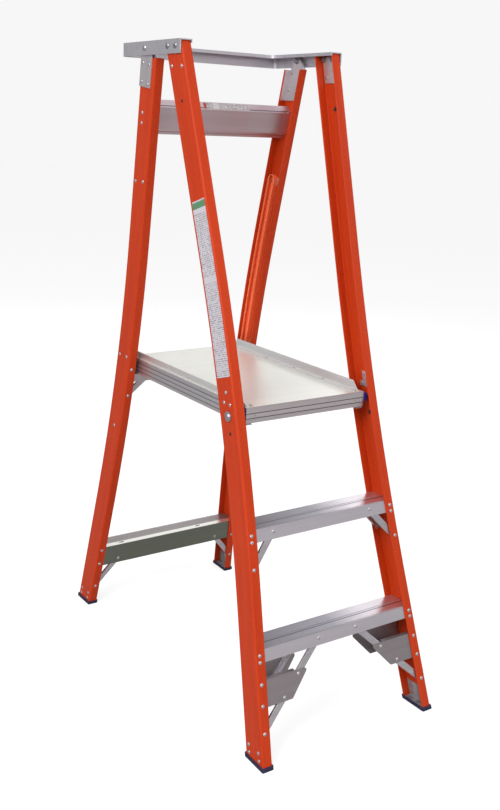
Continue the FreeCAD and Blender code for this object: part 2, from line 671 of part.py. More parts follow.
def bar_flange_rivets(frame, heights):
    """Rivets through the flanges and a bar's legs at the given heights."""
    made = []
    grip = STILE_WALL + TREAD_WALL
    for z in heights:
        for level, direction in ((0, V(0, -1, 0)), (STILE_DEPTH, V(0, 1, 0))):
            x = frame.width_at(z, level) - RIVET_INSET
            made += rivet_pair(frame, V(x, level, frame.s_at(z, level)), direction, grip)
    return made


def gusset_plates():
    """Right-hand gussets inside both flanges of a front stile, and their rivets."""
    plates = []
    rivets = []
    outer = FRONT.width_at(GUSSET_BOTTOM) + STILE_WALL
    run = (LOWER_BRACE["stile_z"] - LOWER_BRACE_FROM_Z)
    beyond = FRONT.slab(0, FRONT.s_at(2 * GUSSET_TOP), (0, STILE_DEPTH),
                        (-STILE_DEPTH, STILE_WALL + TREAD_END_GAP))
    for front in (True, False):
        face = STILE_WALL if front else INNER_DEPTH - TREAD_WALL
        level = 0 if front else STILE_DEPTH
        skin = STILE_WALL if front else INNER_DEPTH
        direction = V(0, -1 if front else 1, 0)
        reach = 0 if front else GUSSET_REAR_REACH
        high, low = FRONT.s_at(GUSSET_TOP, level), FRONT.s_at(GUSSET_BOTTOM, level)
        corners = [V(GUSSET_TOP_X - reach, face, high), V(outer, face, high), V(outer, face, low),
                   V(GUSSET_BOTTOM_X - reach, face, low)]
        plate = polygon(corners).extrude(V(0, TREAD_WALL, 0))
        tips = [edge for edge in plate.Edges if abs(edge.tangentAt(edge.FirstParameter).y) > 0.5
                and edge.CenterOfMass.x < GUSSET_BOTTOM_X + 1]
        plate = plate.makeFillet(GUSSET_TIP_RADIUS, tips)
        if front:
            start = GUSSET_TOP_X + GUSSET_FOLD_CLEAR
            fold = [V(start, face, high), V(start, face + GUSSET_FOLD, FRONT.s_at(GUSSET_TOP, GUSSET_FOLD)),
                    V(start, face + GUSSET_FOLD, FRONT.s_at(GUSSET_TOP - TREAD_WALL, GUSSET_FOLD)),
                    V(start, face, high - TREAD_WALL)]
            plate = plate.fuse(polygon(fold).extrude(V(outer - start, 0, 0))).removeSplitter()
        plates.append(FRONT.place(plate.cut(beyond)))
        stile_x = FRONT.width_at(LOWER_BRACE["stile_z"], level) - RIVET_INSET
        for x in GUSSET_RIVET_X:
            z = LOWER_BRACE_FROM_Z + run * (x - LOWER_BRACE["tread_x"]) / (stile_x - LOWER_BRACE["tread_x"])
            rivets += rivet_pair(FRONT, V(x, skin, FRONT.s_at(z, level)), direction, TREAD_WALL + BRACE_WALL)
    return plates, rivets


def build_treads():
    """Two treads with their braces, gussets and rivets."""
    rivets = []
    for name, top in TREAD_TOPS.items():
        bar = FRONT.place(legged_bar(FRONT, top, TREAD_FACE, TREAD_FACE, TREAD_WALL))
        add(name + "_tread", grooved(bar, FRONT, top, TREAD_GROOVE_DEPTHS))
        rivets += tread_end_rivets(top)
    lower = TREAD_TOPS["lower"]
    upper_straps, made = brace_pair(FRONT, UPPER_BRACE["tread_x"], TREAD_TOPS["upper"] - TREAD_RIVETS_DOWN[0],
                                    UPPER_BRACE["stile_z"], (True, False))
    rivets += made
    lower_straps, made = brace_pair(FRONT, LOWER_BRACE["tread_x"], LOWER_BRACE_FROM_Z,
                                    LOWER_BRACE["stile_z"], (True, False))
    rivets += made
    plates, made = gusset_plates()
    rivets += made
    rivets += bar_flange_rivets(FRONT, (GUSSET_TOP - 8, GUSSET_BOTTOM + 6))
    add_pair("upper_tread_braces", Part.Compound(upper_straps))
    add_pair("lower_tread_braces", Part.Compound(lower_straps))
    add_pair("gusset_plates", Part.Compound(plates))
    add_group("tread_rivets", rivets)


def tread_end_rivets(top):
    """The two rivets in each flange at a tread's ends."""
    return bar_flange_rivets(FRONT, [top - down for down in TREAD_RIVETS_DOWN])


def level_edge(x_section, y0, y1):
    """Extrude an (x, z) section of the platform from front to back."""
    return polygon([V(x, y0, z) for x, z in x_section]).extrude(V(0, y1 - y0, 0))


def channel_rail(face, top, bottom, width, inward):
    """An (offset, height) C section: web at the face, both flanges pointing inward."""
    back = face + inward * width
    web = face + inward * FRAME_WALL
    return [(face, top), (back, top), (back, top - FRAME_WALL), (web, top - FRAME_WALL),
            (web, bottom + FRAME_WALL), (back, bottom + FRAME_WALL), (back, bottom), (face, bottom)]


def cross_rail(face_y, bottom, inward):
    """A front or rear platform rail: full-width web, flanges cut back between the side rails."""
    seat = DECK_TOP - DECK_SHEET
    inner = PLATFORM_HALF_WIDTH - FRAME_RAIL_WIDTH - FIT_GAP
    section = channel_rail(face_y, seat, bottom, FRAME_RAIL_WIDTH, inward)
    rail = polygon([V(-inner, y, z) for y, z in section]).extrude(V(2 * inner, 0, 0))
    half = PLATFORM_HALF_WIDTH
    y0, y1 = sorted((face_y, face_y + inward * FRAME_WALL))
    return rail.fuse(box(-half, half, y0, y1, bottom, DECK_TOP)).removeSplitter()


def build_platform():
    """The folding platform: deck, four rails, toe boards, bushes, guide pins and rivets."""
    half = PLATFORM_HALF_WIDTH
    seat = DECK_TOP - DECK_SHEET
    front, rear = PLATFORM_FRONT_Y, PLATFORM_REAR_Y
    inside_front, inside_rear = front + FRAME_WALL, rear - FRAME_WALL
    skin = half - FRAME_WALL
    add("platform_deck", box(-skin, skin, inside_front, inside_rear, seat, DECK_TOP))
    front_rail = cross_rail(front, DECK_TOP - FRONT_RAIL_HEIGHT, 1)
    cutters = []
    for drop in FRONT_RAIL_GROOVES:
        low = DECK_TOP - drop - GROOVE_WIDTH / 2
        cutters.append(box(-half, half, front - GROOVE_DEPTH, front + GROOVE_DEPTH, low, low + GROOVE_WIDTH))
    add("platform_front_rail", front_rail.cut(cutters))
    add("platform_rear_rail", cross_rail(rear, RAIL_BOTTOM, -1))
    side = level_edge(channel_rail(half, seat, RAIL_BOTTOM, FRAME_RAIL_WIDTH, -1), inside_front, inside_rear)
    side = side.fuse(box(skin, half, inside_front, inside_rear, seat, DECK_TOP)).removeSplitter()
    cutters = []
    for drop in SIDE_RAIL_GROOVES:
        low = DECK_TOP - drop - GROOVE_WIDTH / 2
        cutters.append(box(half - GROOVE_DEPTH, half + GROOVE_DEPTH, front, rear, low, low + GROOVE_WIDTH))
    add_pair("platform_side_rail", side.cut(cutters))

    toe_y0 = front + TOE_FRONT_GAP
    toe_y1 = rear - GUIDE_PIN_FROM_REAR
    foot_x = half - TOE_INSET - 2 * TOE_WALL
    top_x = half - TOE_WALL
    profile = [(foot_x - TOE_FOOT, DECK_TOP), (foot_x, DECK_TOP), (top_x, DECK_TOP + TOE_HEIGHT)]
    section = strip(profile, TOE_WALL)
    toe = level_edge(section, toe_y0, toe_y1)
    before, above = toe_y0 - TOE_WALL, DECK_TOP + TOE_HEIGHT + TOE_WALL
    chamfer = polygon([V(0, before, DECK_TOP + TOE_WALL), V(0, toe_y0, DECK_TOP + TOE_WALL),
                       V(0, toe_y0 + TOE_CHAMFER, above), V(0, before, above)])
    add_pair("toe_board", toe.cut(chamfer.extrude(V(SPREAD, 0, 0))))

    rivets = []
    foot_rivet_x = foot_x - TOE_FOOT + RIVET_HEAD_RADIUS + 1.5
    grip = TOE_WALL + DECK_SHEET + FRAME_WALL
    for part in TOE_RIVETS_AT:
        y = front + part * PLATFORM_DEPTH
        at = V(foot_rivet_x, y, DECK_TOP + TOE_WALL)
        rivets += both(aimed(rivet_shape(grip), at, V(0, 0, 1)))
        drill_pair(at, V(0, 0, 1), grip, RIVET_RADIUS + RIVET_HOLE_GAP)
    corner_x = half - FRAME_RAIL_WIDTH - CORNER_RIVET_INSET
    flush = Part.makeCylinder(RIVET_RADIUS, FRAME_WALL, V(0, 0, -FRAME_WALL))
    tail = Part.makeCylinder(RIVET_TAIL_RADIUS, RIVET_TAIL_HEIGHT, V(0, 0, -FRAME_WALL - RIVET_TAIL_HEIGHT))
    flush = flush.fuse(tail).removeSplitter()
    for y, direction, shape in ((front, V(0, -1, 0), flush), (rear, V(0, 1, 0), rivet_shape(FRAME_WALL))):
        at = V(corner_x, y, DECK_TOP - CORNER_RIVET_DROP)
        rivets += both(aimed(shape, at, direction))
        drill_pair(at, direction, FRAME_WALL, RIVET_RADIUS + RIVET_HOLE_GAP)
    add_group("platform_rivets", rivets)

    pin = domed_head(GUIDE_PIN_RADIUS, 1.5)
    pin.translate(V(0, 0, GUIDE_PIN_LENGTH - 1.5))
    pin = pin.fuse(Part.makeCylinder(GUIDE_PIN_RADIUS, GUIDE_PIN_LENGTH - 1.5)).removeSplitter()
    at = V(half, rear - GUIDE_PIN_FROM_REAR - GUIDE_PIN_RADIUS, PIVOT_HEIGHT)
    add_group("platform_guide_pins", both(aimed(pin, at, V(1, 0, 0))))


def build_platform_pivot():
    """Bushes on the platform, and the bolts, nuts and washers that carry them on the front stiles."""
    half = PLATFORM_HALF_WIDTH
    centre = V(half, PIVOT_Y, PIVOT_HEIGHT)
    web_out = FRONT.width_at(PIVOT_HEIGHT, PIVOT_DEPTH)
    bore = PIVOT_RADIUS + PIVOT_CLEARANCE
    bush = ring(BUSH_RADIUS, bore, BUSH_LENGTH)
    add_pair("platform_bush", aimed(bush, centre, V(1, 0, 0)), False)
    washer_at = web_out + PIVOT_WASHER_GAP
    start = washer_at + PIVOT_WASHER
    nut = 5.0
    inner = half - FRAME_WALL - FIT_GAP - nut
    bolt = bolt_shape(start - inner, PIVOT_RADIUS, PIVOT_HEAD_RADIUS, PIVOT_HEAD_HEIGHT)
    washer = ring(PIVOT_WASHER_RADIUS, PIVOT_RADIUS, PIVOT_WASHER)
    jam = hex_nut(JAM_NUT_RADIUS, JAM_NUT_HEIGHT - 2 * FIT_GAP, PIVOT_RADIUS)
    end_nut = hex_nut(JAM_NUT_RADIUS, nut, PIVOT_RADIUS)
    axis = V(1, 0, 0)
    head = V(start, PIVOT_Y, PIVOT_HEIGHT)
    drill_pair(head, axis, start - inner, bore)
    bolts = both(aimed(bolt, head, axis))
    bolts += both(aimed(washer, V(washer_at, PIVOT_Y, PIVOT_HEIGHT), axis))
    nuts = both(aimed(jam, V(half + BUSH_LENGTH + FIT_GAP, PIVOT_Y, PIVOT_HEIGHT), axis))
    nuts += both(aimed(end_nut, V(inner, PIVOT_Y, PIVOT_HEIGHT), axis))
    add_group("platform_pivot_bolts", bolts)
    add_group("platform_pivot_nuts", nuts)

    stem, base = BRACKET_STEM / 2, BRACKET_BASE / 2
    low, high = PIVOT_HEIGHT + BUSH_RADIUS + 7, PIVOT_HEIGHT + BRACKET_REACH
    neck = low + BRACKET_STEM
    points = [(PIVOT_DEPTH - base, low), (PIVOT_DEPTH + base, low), (PIVOT_DEPTH + base, neck - 4),
              (PIVOT_DEPTH + stem, neck), (PIVOT_DEPTH + stem, high), (PIVOT_DEPTH - stem, high),
              (PIVOT_DEPTH - stem, neck), (PIVOT_DEPTH - base, neck - 4)]
    bracket = web_plate(FRONT, points, (STILE_WALL, STILE_WALL + PLATE_WALL))
    add_pair("pivot_bracket", FRONT.place(bracket))
    made = []
    spots = ((high - 9, PIVOT_DEPTH), (low + 6, PIVOT_DEPTH - base + 9), (low + 6, PIVOT_DEPTH + base - 9))
    for z, depth in spots:
        made += web_rivets(FRONT, z, depth, STILE_WALL + PLATE_WALL)
    return made


def build_rear_bars():
    """The lower rear bar, the bar that the platform rests on, their braces and rivets."""
    rivets = []
    bar = legged_bar(REAR, REAR_BAR_TOP, REAR_BAR_FACE, REAR_BAR_REAR_FACE, TREAD_WALL)
    slot_s = REAR.s_at(REAR_BAR_TOP, REAR_SLOT_DEPTH)
    cutters = []
    for x in REAR_BAR_SLOTS:
        long_half = REAR_SLOT_LENGTH / 2
        cutter = box(x - long_half, x + long_half, REAR_SLOT_DEPTH - 3, REAR_SLOT_DEPTH + 3,
                     slot_s - 4 * TREAD_WALL, slot_s + 4 * TREAD_WALL)
        for end in (x - long_half, x + long_half):
            cutter = cutter.fuse(Part.makeCylinder(3, 8 * TREAD_WALL, V(end, REAR_SLOT_DEPTH,
                                                                       slot_s - 4 * TREAD_WALL)))
        cutters.append(cutter)
    bar = REAR.place(bar.cut(cutters))
    add("rear_bar", grooved(bar, REAR, REAR_BAR_TOP, REAR_BAR_GROOVE_DEPTHS))
    straps, made = brace_pair(REAR, REAR_BAR_BRACE["bar_x"], REAR_BAR_BRACE["bar_z"],
                              REAR_BAR_BRACE["stile_z"], (True,))
    rivets += made
    add_group("rear_bar_braces", both(straps[0]), True)
    rivets += bar_flange_rivets(REAR, (REAR_BAR_TOP - 9,))
    low_z = REAR_BAR_TOP - 59
    x = REAR.width_at(low_z) - RIVET_INSET
    rivets += rivet_pair(REAR, V(x, 0, REAR.s_at(low_z)), V(0, -1, 0), STILE_WALL + TREAD_WALL)

    rest_top = RAIL_BOTTOM - SEAT_GAP
    rest = legged_bar(REAR, rest_top, REST_BAR_FACE, REST_BAR_FACE, TREAD_WALL)
    tab_top = DECK_TOP - REST_BAR_TAB_DROP
    brace_low = DECK_TOP - REST_BRACE["drop"]
    inset = STILE_WALL + TREAD_END_GAP
    for depths, offset in (((STILE_WALL, STILE_WALL + TREAD_WALL), 0.0),
                           ((INNER_DEPTH - TREAD_WALL, INNER_DEPTH), STILE_DEPTH)):
        s_pair = [REAR.s_at(z, offset) for z in (rest_top - REST_BAR_FACE / 2, tab_top)]
        tab = REAR.slab(s_pair[0], s_pair[1], depths, (inset, REAR_FLANGE - 1))
        rest = rest.fuse([tab, mirrored(tab)])
    add("platform_rest_bar", REAR.place(rest.removeSplitter()))
    straps, made = brace_pair(REAR, REST_BRACE["bar_x"], rest_top - REST_BAR_FACE / 2,
                              brace_low, (True,))
    rivets += made
    add_group("rest_bar_braces", both(straps[0]), True)
    rivets += bar_flange_rivets(REAR, (tab_top - 15,))
    return rivets


def build_knee_rail():
    """The rail across the rear frame above the platform, and its sticker."""
    base, rise, lip = GUARD_TOP - KNEE_DROP, KNEE_HEIGHT - 20, KNEE_HEIGHT
    face, fold = KNEE_DEPTH, KNEE_DEPTH + KNEE_FOLD
    points = [(fold, base), (face, base + 14), (face, base + rise), (fold, base + lip)]
    bar = crossbar(REAR, points[::-1], KNEE_WALL, FIT_GAP)
    ends = []
    s0, s1 = REAR.s_at(base + 14), REAR.s_at(base + rise - 2)
    tab = REAR.slab(s0, s1, (face + KNEE_WALL, face + KNEE_TAB), (STILE_WALL, STILE_WALL + KNEE_WALL))
    joint = REAR.slab(s0, s1, (face, face + KNEE_WALL), (STILE_WALL, STILE_WALL + 3 * KNEE_WALL))
    for piece in (tab, joint):
        ends += both(piece)
    add("knee_rail", REAR.place(bar.fuse(ends).removeSplitter()))
    s_low, s_high = REAR.s_at(base + rise, face), REAR.s_at(base + lip, fold)
    run = V(0, fold - face, s_high - s_low)
    length = run.Length
    sheet = Part.makeBox(STICKER_LENGTH, length - 5, LABEL_THICKNESS)
    sheet.Placement = FreeCAD.Placement(V(0, 0, 0), FreeCAD.Rotation(V(1, 0, 0), run, V(0, 0, 0), "XYZ"))
    unit = run * (1 / length)
    sheet.translate(V(STICKER_FROM_X, face + unit.y * 2.5, s_low + unit.z * 2.5))
    add("knee_rail_sticker", REAR.place(sheet), False)
    made = []
    for z in (base + 28, base + rise - 16):
        made += web_rivets(REAR, z, face + (KNEE_WALL + KNEE_TAB) / 2, STILE_WALL + KNEE_WALL)
    return made


def build_guide_tracks():
    """Tracks in the rear stiles that guide the platform's rear end, their clips and rivets."""
    far = INNER_DEPTH - INSIDE_CORNER - FIT_GAP
    near = far - TRACK_WIDTH
    s0, s1 = REAR.s_at(TRACK_LOW), REAR.s_at(TRACK_HIGH)
    base = STILE_WALL + BEND_SEAT
    proud = base + TRACK_PROUD
    track = REAR.slab(s0, s1, (near, far), (base, base + TRACK_WALL))
    for depths in ((near, near + TRACK_WALL), (far - TRACK_WALL, far)):
        track = track.fuse(REAR.slab(s0, s1, depths, (base, proud)))
    for depths in ((near, near + 3 * TRACK_WALL), (far - 3 * TRACK_WALL, far)):
        track = track.fuse(REAR.slab(s0, s1, depths, (proud - TRACK_WALL, proud)))
    radius = TRACK_WIDTH / 2
    across = 2 * REAR_WAIST
    centre = V(0, near + radius, s1 - radius)
    dome = Part.makeCylinder(radius, across, centre, V(1, 0, 0))
    crown = dome.cut(Part.makeCylinder(radius - TRACK_WALL, across, centre, V(1, 0, 0)))
    upper = box(0, across, near, far, s1 - radius, s1 + radius)
    crown = crown.common(upper).common(REAR.slab(s0, s1, (near, far), (base, proud)))
    track = track.cut(upper.cut(dome)).fuse(crown)
    add_pair("guide_track", REAR.place(track.removeSplitter()))
    clips = []
    made = []
    ends = (TRACK_HIGH - TRACK_RIVET_INSETS[0], TRACK_LOW + TRACK_RIVET_INSETS[1])
    depth = TRACK_CLIP_DEPTH
    for z in ends:
        start, end = depth - 8, near - FIT_GAP
        points = [(start, z - 11), (end, z - 11), (end, z + 11), (start, z + 11)]
        clips.append(REAR.place(web_plate(REAR, points, (STILE_WALL, STILE_WALL + PLATE_WALL))))
        made += web_rivets(REAR, z, depth, STILE_WALL + PLATE_WALL)
        made += web_rivets(REAR, z, TRACK_RIVET_DEPTH, STILE_WALL + TRACK_WALL)
    add_group("track_clips", clips + [mirrored(clip) for clip in clips], True)
    return made


def build_foot(frame):
    """A right-hand rubber foot, the bracket inside it and the bracket's rivets."""
    rim, flange = FOOT_RIM_WALL, frame.flange
    s0, s1 = -STILE_DEPTH, FOOT_BRACKET_TOP + STILE_DEPTH
    shoe = frame.place(frame.slab(s0, s1, (-rim, STILE_DEPTH + rim), (-rim, flange + FIT_GAP + rim)))
    pocket = frame.place(frame.slab(s0, s1, (0, STILE_DEPTH), (0, flange + FIT_GAP)))
    shoe = shoe.common(box(0, SPREAD, -SPREAD, SPREAD, 0, FOOT_RIM))
    shoe = shoe.cut(pocket.common(box(0, SPREAD, -SPREAD, SPREAD, FOOT_FLOOR, 2 * FOOT_RIM)))
    near, far = STILE_WALL + 1, INNER_DEPTH - 1
    wall = (STILE_WALL, STILE_WALL + PLATE_WALL)
    plate = frame.place(frame.slab(s0, s1, (near, far), wall))
    ledge = frame.place(frame.slab(s0, s1, (near, far), (STILE_WALL, flange - 3)))
    plate = plate.common(box(0, SPREAD, -SPREAD, SPREAD, FOOT_FLOOR, FOOT_BRACKET_TOP))
    ledge = ledge.common(box(0, SPREAD, -SPREAD, SPREAD, FOOT_FLOOR, FOOT_FLOOR + PLATE_WALL))
    rivets = []
    for z in FOOT_RIVET_HEIGHTS:
        for depth in FOOT_RIVET_DEPTHS:
            rivets += web_rivets(frame, z, depth, STILE_WALL + PLATE_WALL)
    return shoe, plate.fuse(ledge).removeSplitter(), rivets


def build_feet():
    """All four feet; returns the front and the rear bracket rivets."""
    made = []
    for name, frame in (("front", FRONT), ("rear", REAR)):
        shoe, bracket, rivets = build_foot(frame)
        add_pair(name + "_foot", shoe, False)
        add_group(name + "_foot_brackets", both(bracket), True)
        made.append(rivets)
    return made


def build_trim():
    """Hole plugs in the front stiles and the label on the left one."""
    plugs = []
    spots = ((GUARD_TOP - HIGH_PLUG[0], HIGH_PLUG[1]), (DECK_TOP - LOW_PLUG[0], LOW_PLUG[1]))
    for z, depth in spots:
        s = FRONT.s_at(z, depth)
        nx, ns = FRONT.normal(s)
        at = FRONT.point(s, BEND_SEAT)
        stem = Part.makeCylinder(PLUG_RADIUS * 0.6, STILE_WALL, V(0, 0, -STILE_WALL))
        plug = domed_head(PLUG_RADIUS, 1.4).fuse(stem).removeSplitter()
        place, direction = V(at.x, depth, at.z), V(nx, 0, ns)
        plugs += both(FRONT.place(aimed(plug, place, direction)))
        HOLES.extend(both(FRONT.place(aimed(stem, place, direction))))
    add_group("hole_plugs", plugs)
    low = DECK_TOP + LABEL_LIFT
    label = FRONT.slab(FRONT.s_at(low), FRONT.s_at(low + LABEL_LENGTH), LABEL_DEPTHS,
                       (-LABEL_THICKNESS - BEND_SEAT, -BEND_SEAT))
    add("instruction_label", mirrored(FRONT.place(label)), False)


def drilled(shape):
    """Cut every remembered hole that reaches a shape."""
    near = [hole for hole in HOLES if shape.BoundBox.intersect(hole.BoundBox)]
    return shape.cut(near) if near else shape


def save():
    """Drill, mirror and export every piece."""
    os.makedirs("parts", exist_ok=True)
    for name, shape, holes, paired in PIECES:
        made = drilled(shape) if holes else shape
        if paired:
            made.exportStep("parts/" + name + "_right.step")
            mirrored(made).exportStep("parts/" + name + "_left.step")
        else:
            made.exportStep("parts/" + name + ".step")


def build():
    """Build the whole ladder."""
    build_stiles()
    build_guard_rail()
    build_guard_bolts()
    build_hinge_plates()
    front_rivets = build_top_plates()
    build_treads()
    build_platform()
    front_rivets += build_platform_pivot()
    rear_rivets = build_rear_bars()
    rear_rivets += build_knee_rail()
    rear_rivets += build_guide_tracks()
    rear_rivets += web_rivets(REAR, DECK_TOP - REAR_WEB_RIVET[0], REAR_WEB_RIVET[1], STILE_WALL)
    front_feet, rear_feet = build_feet()
    build_trim()
    add_group("front_web_rivets", front_rivets + front_feet)
    add_group("rear_frame_rivets", rear_rivets + rear_feet)
    save()


build()
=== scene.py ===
"""Looks for a platform step ladder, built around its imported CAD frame.

The frame gives every piece its place and size. This file dresses the CAD pieces, makes the detailed
ones again as finer meshes, and sets up a plain studio.
"""

import logging
import math
from dataclasses import dataclass
from enum import Enum
from typing import ClassVar, Sequence

import bmesh
import bpy
from mathutils import Matrix, Vector


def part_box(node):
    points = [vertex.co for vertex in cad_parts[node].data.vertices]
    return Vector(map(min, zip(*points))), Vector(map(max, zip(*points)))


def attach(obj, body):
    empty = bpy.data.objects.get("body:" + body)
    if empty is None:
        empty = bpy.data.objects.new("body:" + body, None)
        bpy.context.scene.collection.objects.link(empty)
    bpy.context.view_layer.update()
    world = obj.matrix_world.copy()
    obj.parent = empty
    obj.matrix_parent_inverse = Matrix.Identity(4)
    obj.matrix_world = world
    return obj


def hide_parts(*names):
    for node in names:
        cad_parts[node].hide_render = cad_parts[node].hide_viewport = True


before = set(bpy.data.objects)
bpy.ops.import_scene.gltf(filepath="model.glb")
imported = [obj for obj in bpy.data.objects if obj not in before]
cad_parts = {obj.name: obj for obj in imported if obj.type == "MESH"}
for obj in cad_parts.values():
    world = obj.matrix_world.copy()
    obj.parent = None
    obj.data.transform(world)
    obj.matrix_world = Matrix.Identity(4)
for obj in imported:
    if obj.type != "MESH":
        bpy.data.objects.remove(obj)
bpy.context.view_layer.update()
LOG = logging.getLogger("ladder")

Point2 = tuple[float, float]
Point3 = tuple[float, float, float]
Colour = tuple[float, float, float]
Pieces = dict[str, list[str]]
Node = bpy.types.Node
Socket = bpy.types.NodeSocket

FRONT_LEAN = math.radians(17.3)
REAR_LEAN = math.radians(11.6)
HARD_EDGE = math.radians(32)
# Grooves, where lines of painted shade are laid: from a tread's front edge, and down from the top of the
# deck.
TREAD_GROOVES = (0.0065, 0.039)
FRONT_RAIL_GROOVES = (0.0165, 0.0295)
SIDE_RAIL_GROOVES = (0.011, 0.0235, 0.036)


class Grain(Enum):
    """The direction in which a surface's fibres or brush marks run, as a turn about X, Y and Z."""

    ACROSS = (0.0, math.radians(90), 0.0)
    FRONT_STILE = (FRONT_LEAN, 0.0, 0.0)
    REAR_STILE = (-REAR_LEAN, 0.0, 0.0)
    ALONG = (math.radians(90), 0.0, 0.0)


def linear(red: int, green: int, blue: int) -> Colour:
    """Turn a display colour of 0 to 255 into scene-linear values.

    Args:
        red, green, blue: the display colour's channels.

    Returns:
        The linear colour.
    """
    def channel(value: int) -> float:
        """Turn one channel."""
        share = value / 255
        return share / 12.92 if share <= 0.04045 else ((share + 0.055) / 1.055) ** 2.4
    return channel(red), channel(green), channel(blue)


def add_object(name: str, data: bpy.types.ID) -> bpy.types.Object:
    """Put a new object into the scene.

    Args:
        name: the object's name.
        data: its mesh, light or camera.

    Returns:
        The object.
    """
    thing = bpy.data.objects.new(name, data)
    bpy.context.scene.collection.objects.link(thing)
    return thing


class NodeTree:
    """A short way to add and join shader nodes."""

    def __init__(self, tree: bpy.types.NodeTree) -> None:
        """Keep the tree that nodes are added to."""
        self.tree = tree

    def put(self, node: Node, key: str | int, value: Socket | float | tuple[float, ...]) -> None:
        """Join a socket to a node's input, or set the input to a plain value.

        Args:
            node: the node that takes it.
            key: the input's name or index.
            value: the socket or value.
        """
        if isinstance(value, Socket):
            self.tree.links.new(value, node.inputs[key])
        else:
            node.inputs[key].default_value = value

    def add(self, kind: str, inputs: dict | None = None, **settings: object) -> Node:
        """Add a node.

        Args:
            kind: the shader node's type.
            inputs: values or sockets by input name or index.
            settings: properties of the node itself.

        Returns:
            The new node.
        """
        node = self.tree.nodes.new(f"ShaderNode{kind}")
        for name, value in settings.items():
            setattr(node, name, value)
        for key, value in (inputs or {}).items():
            self.put(node, key, value)
        return node

    def mix(self, factor: Socket | float, first: Socket | Colour, second: Socket | Colour) -> Socket:
        """Mix two colours.

        Args:
            factor: the second colour's share.
            first, second: the colours.

        Returns:
            The mixed colour.
        """
        node = self.add("Mix", {0: factor}, data_type="RGBA")
        for key, value in ((6, first), (7, second)):
            self.put(node, key, value if isinstance(value, Socket) else (*value, 1.0))
        return node.outputs[2]

    def math(self, kind: str, first: Socket | float, second: Socket | float = 0.0) -> Socket:
        """Do arithmetic on two values and return the result's socket."""
        return self.add("Math", {0: first, 1: second}, operation=kind).outputs[0]

    def times(self, first: Socket | float, second: Socket | float) -> Socket:
        """Multiply two values."""
        return self.math("MULTIPLY", first, second)

    def remap(self, value: Socket, low: float, high: float, out_low: float, out_high: float) -> Socket:
        """Map a value from one range to another and return the result's socket."""
        ends = {1: low, 2: high, 3: out_low, 4: out_high}
        return self.add("MapRange", {0: value, **ends}).outputs[0]

    def dot(self, first: Socket, second: Socket | Point3) -> Socket:
        """Measure one vector along another."""
        given = {0: first, 1: second}
        return self.add("VectorMath", given, operation="DOT_PRODUCT").outputs["Value"]

    def place(self) -> Socket:
        """Where a point lies in its own piece."""
        return self.add("TexCoord").outputs["Object"]


class EffectGroups:
    """Shader node groups that several finishes share. Each one is built once."""

    def __init__(self) -> None:
        """Build every group."""
        self.streaks = self._streaks()
        self.mottle = self._mottle()
        self.edges = self._edges()

    @staticmethod
    def _group(name: str, inputs: dict[str, float], outputs: Sequence[str]) -> tuple[NodeTree, Node, Node]:
        """Make an empty group with named float inputs and outputs.

        Args:
            name: the group's name.
            inputs: the inputs' first values, by name.
            outputs: the outputs' names.

        Returns:
            The group's tree, with its input and output nodes.
        """
        group = bpy.data.node_groups.new(name, "ShaderNodeTree")
        sockets = group.interface
        sockets.new_socket("Vector", in_out="INPUT", socket_type="NodeSocketVector")
        for key, value in inputs.items():
            sockets.new_socket(key, in_out="INPUT", socket_type="NodeSocketFloat").default_value = value
        for key in outputs:
            sockets.new_socket(key, in_out="OUTPUT", socket_type="NodeSocketFloat")
        tree = NodeTree(group)
        return tree, group.nodes.new("NodeGroupInput"), group.nodes.new("NodeGroupOutput")

    def _streaks(self) -> bpy.types.NodeTree:
        """Fine lines that run along the vector's Z, with a slower drift across them.

        Returns:
            The group.
        """
        inputs = {"Fineness": 400.0, "Stretch": 0.02}
        tree, source, sink = self._group("Streaks", inputs, ("Lines", "Drift"))
        across = source.outputs["Fineness"]
        along = tree.times(across, source.outputs["Stretch"])
        scale = tree.add("CombineXYZ", {0: across, 1: across, 2: along}).outputs[0]
        given = {0: source.outputs["Vector"], 1: scale}
        moved = tree.add("VectorMath", given, operation="MULTIPLY").outputs[0]
        fine = tree.add("TexNoise", {"Vector": moved, "Scale": 1.0, "Detail": 3.0})
        slow = tree.add("TexNoise", {"Vector": moved, "Scale": 0.09, "Detail": 2.0})
        tree.put(sink, "Lines", fine.outputs[0])
        tree.put(sink, "Drift", slow.outputs[0])
        return tree.tree

    def _mottle(self) -> bpy.types.NodeTree:
        """Soft blotches of handling and dust.

        Returns:
            The group.
        """
        tree, source, sink = self._group("Mottle", {"Scale": 14.0}, ("Mask",))
        given = {key: source.outputs[key] for key in ("Vector", "Scale")}
        noise = tree.add("TexNoise", {**given, "Detail": 5.0, "Roughness": 0.6})
        mask = tree.remap(noise.outputs[0], 0.38, 0.68, 0.0, 1.0)
        tree.put(sink, "Mask", mask)
        return tree.tree

    def _edges(self) -> bpy.types.NodeTree:
        """A softened normal at hard edges, and a mask that is high along them.

        Returns:
            The group.
        """
        group = bpy.data.node_groups.new("Edges", "ShaderNodeTree")
        sockets = group.interface
        sockets.new_socket("Radius", in_out="INPUT", socket_type="NodeSocketFloat").default_value = 0.0008
        sockets.new_socket("Mask", in_out="OUTPUT", socket_type="NodeSocketFloat")
        sockets.new_socket("Normal", in_out="OUTPUT", socket_type="NodeSocketVector")
        tree = NodeTree(group)
        source, sink = group.nodes.new("NodeGroupInput"), group.nodes.new("NodeGroupOutput")
        soft = tree.add("Bevel", {"Radius": source.outputs["Radius"]}, samples=4)
        flat = tree.add("NewGeometry").outputs["Normal"]
        mask = tree.remap(tree.dot(soft.outputs[0], flat), 0.995, 0.90, 0.0, 1.0)
        tree.put(sink, "Mask", mask)
        tree.put(sink, "Normal", soft.outputs[0])
        return group


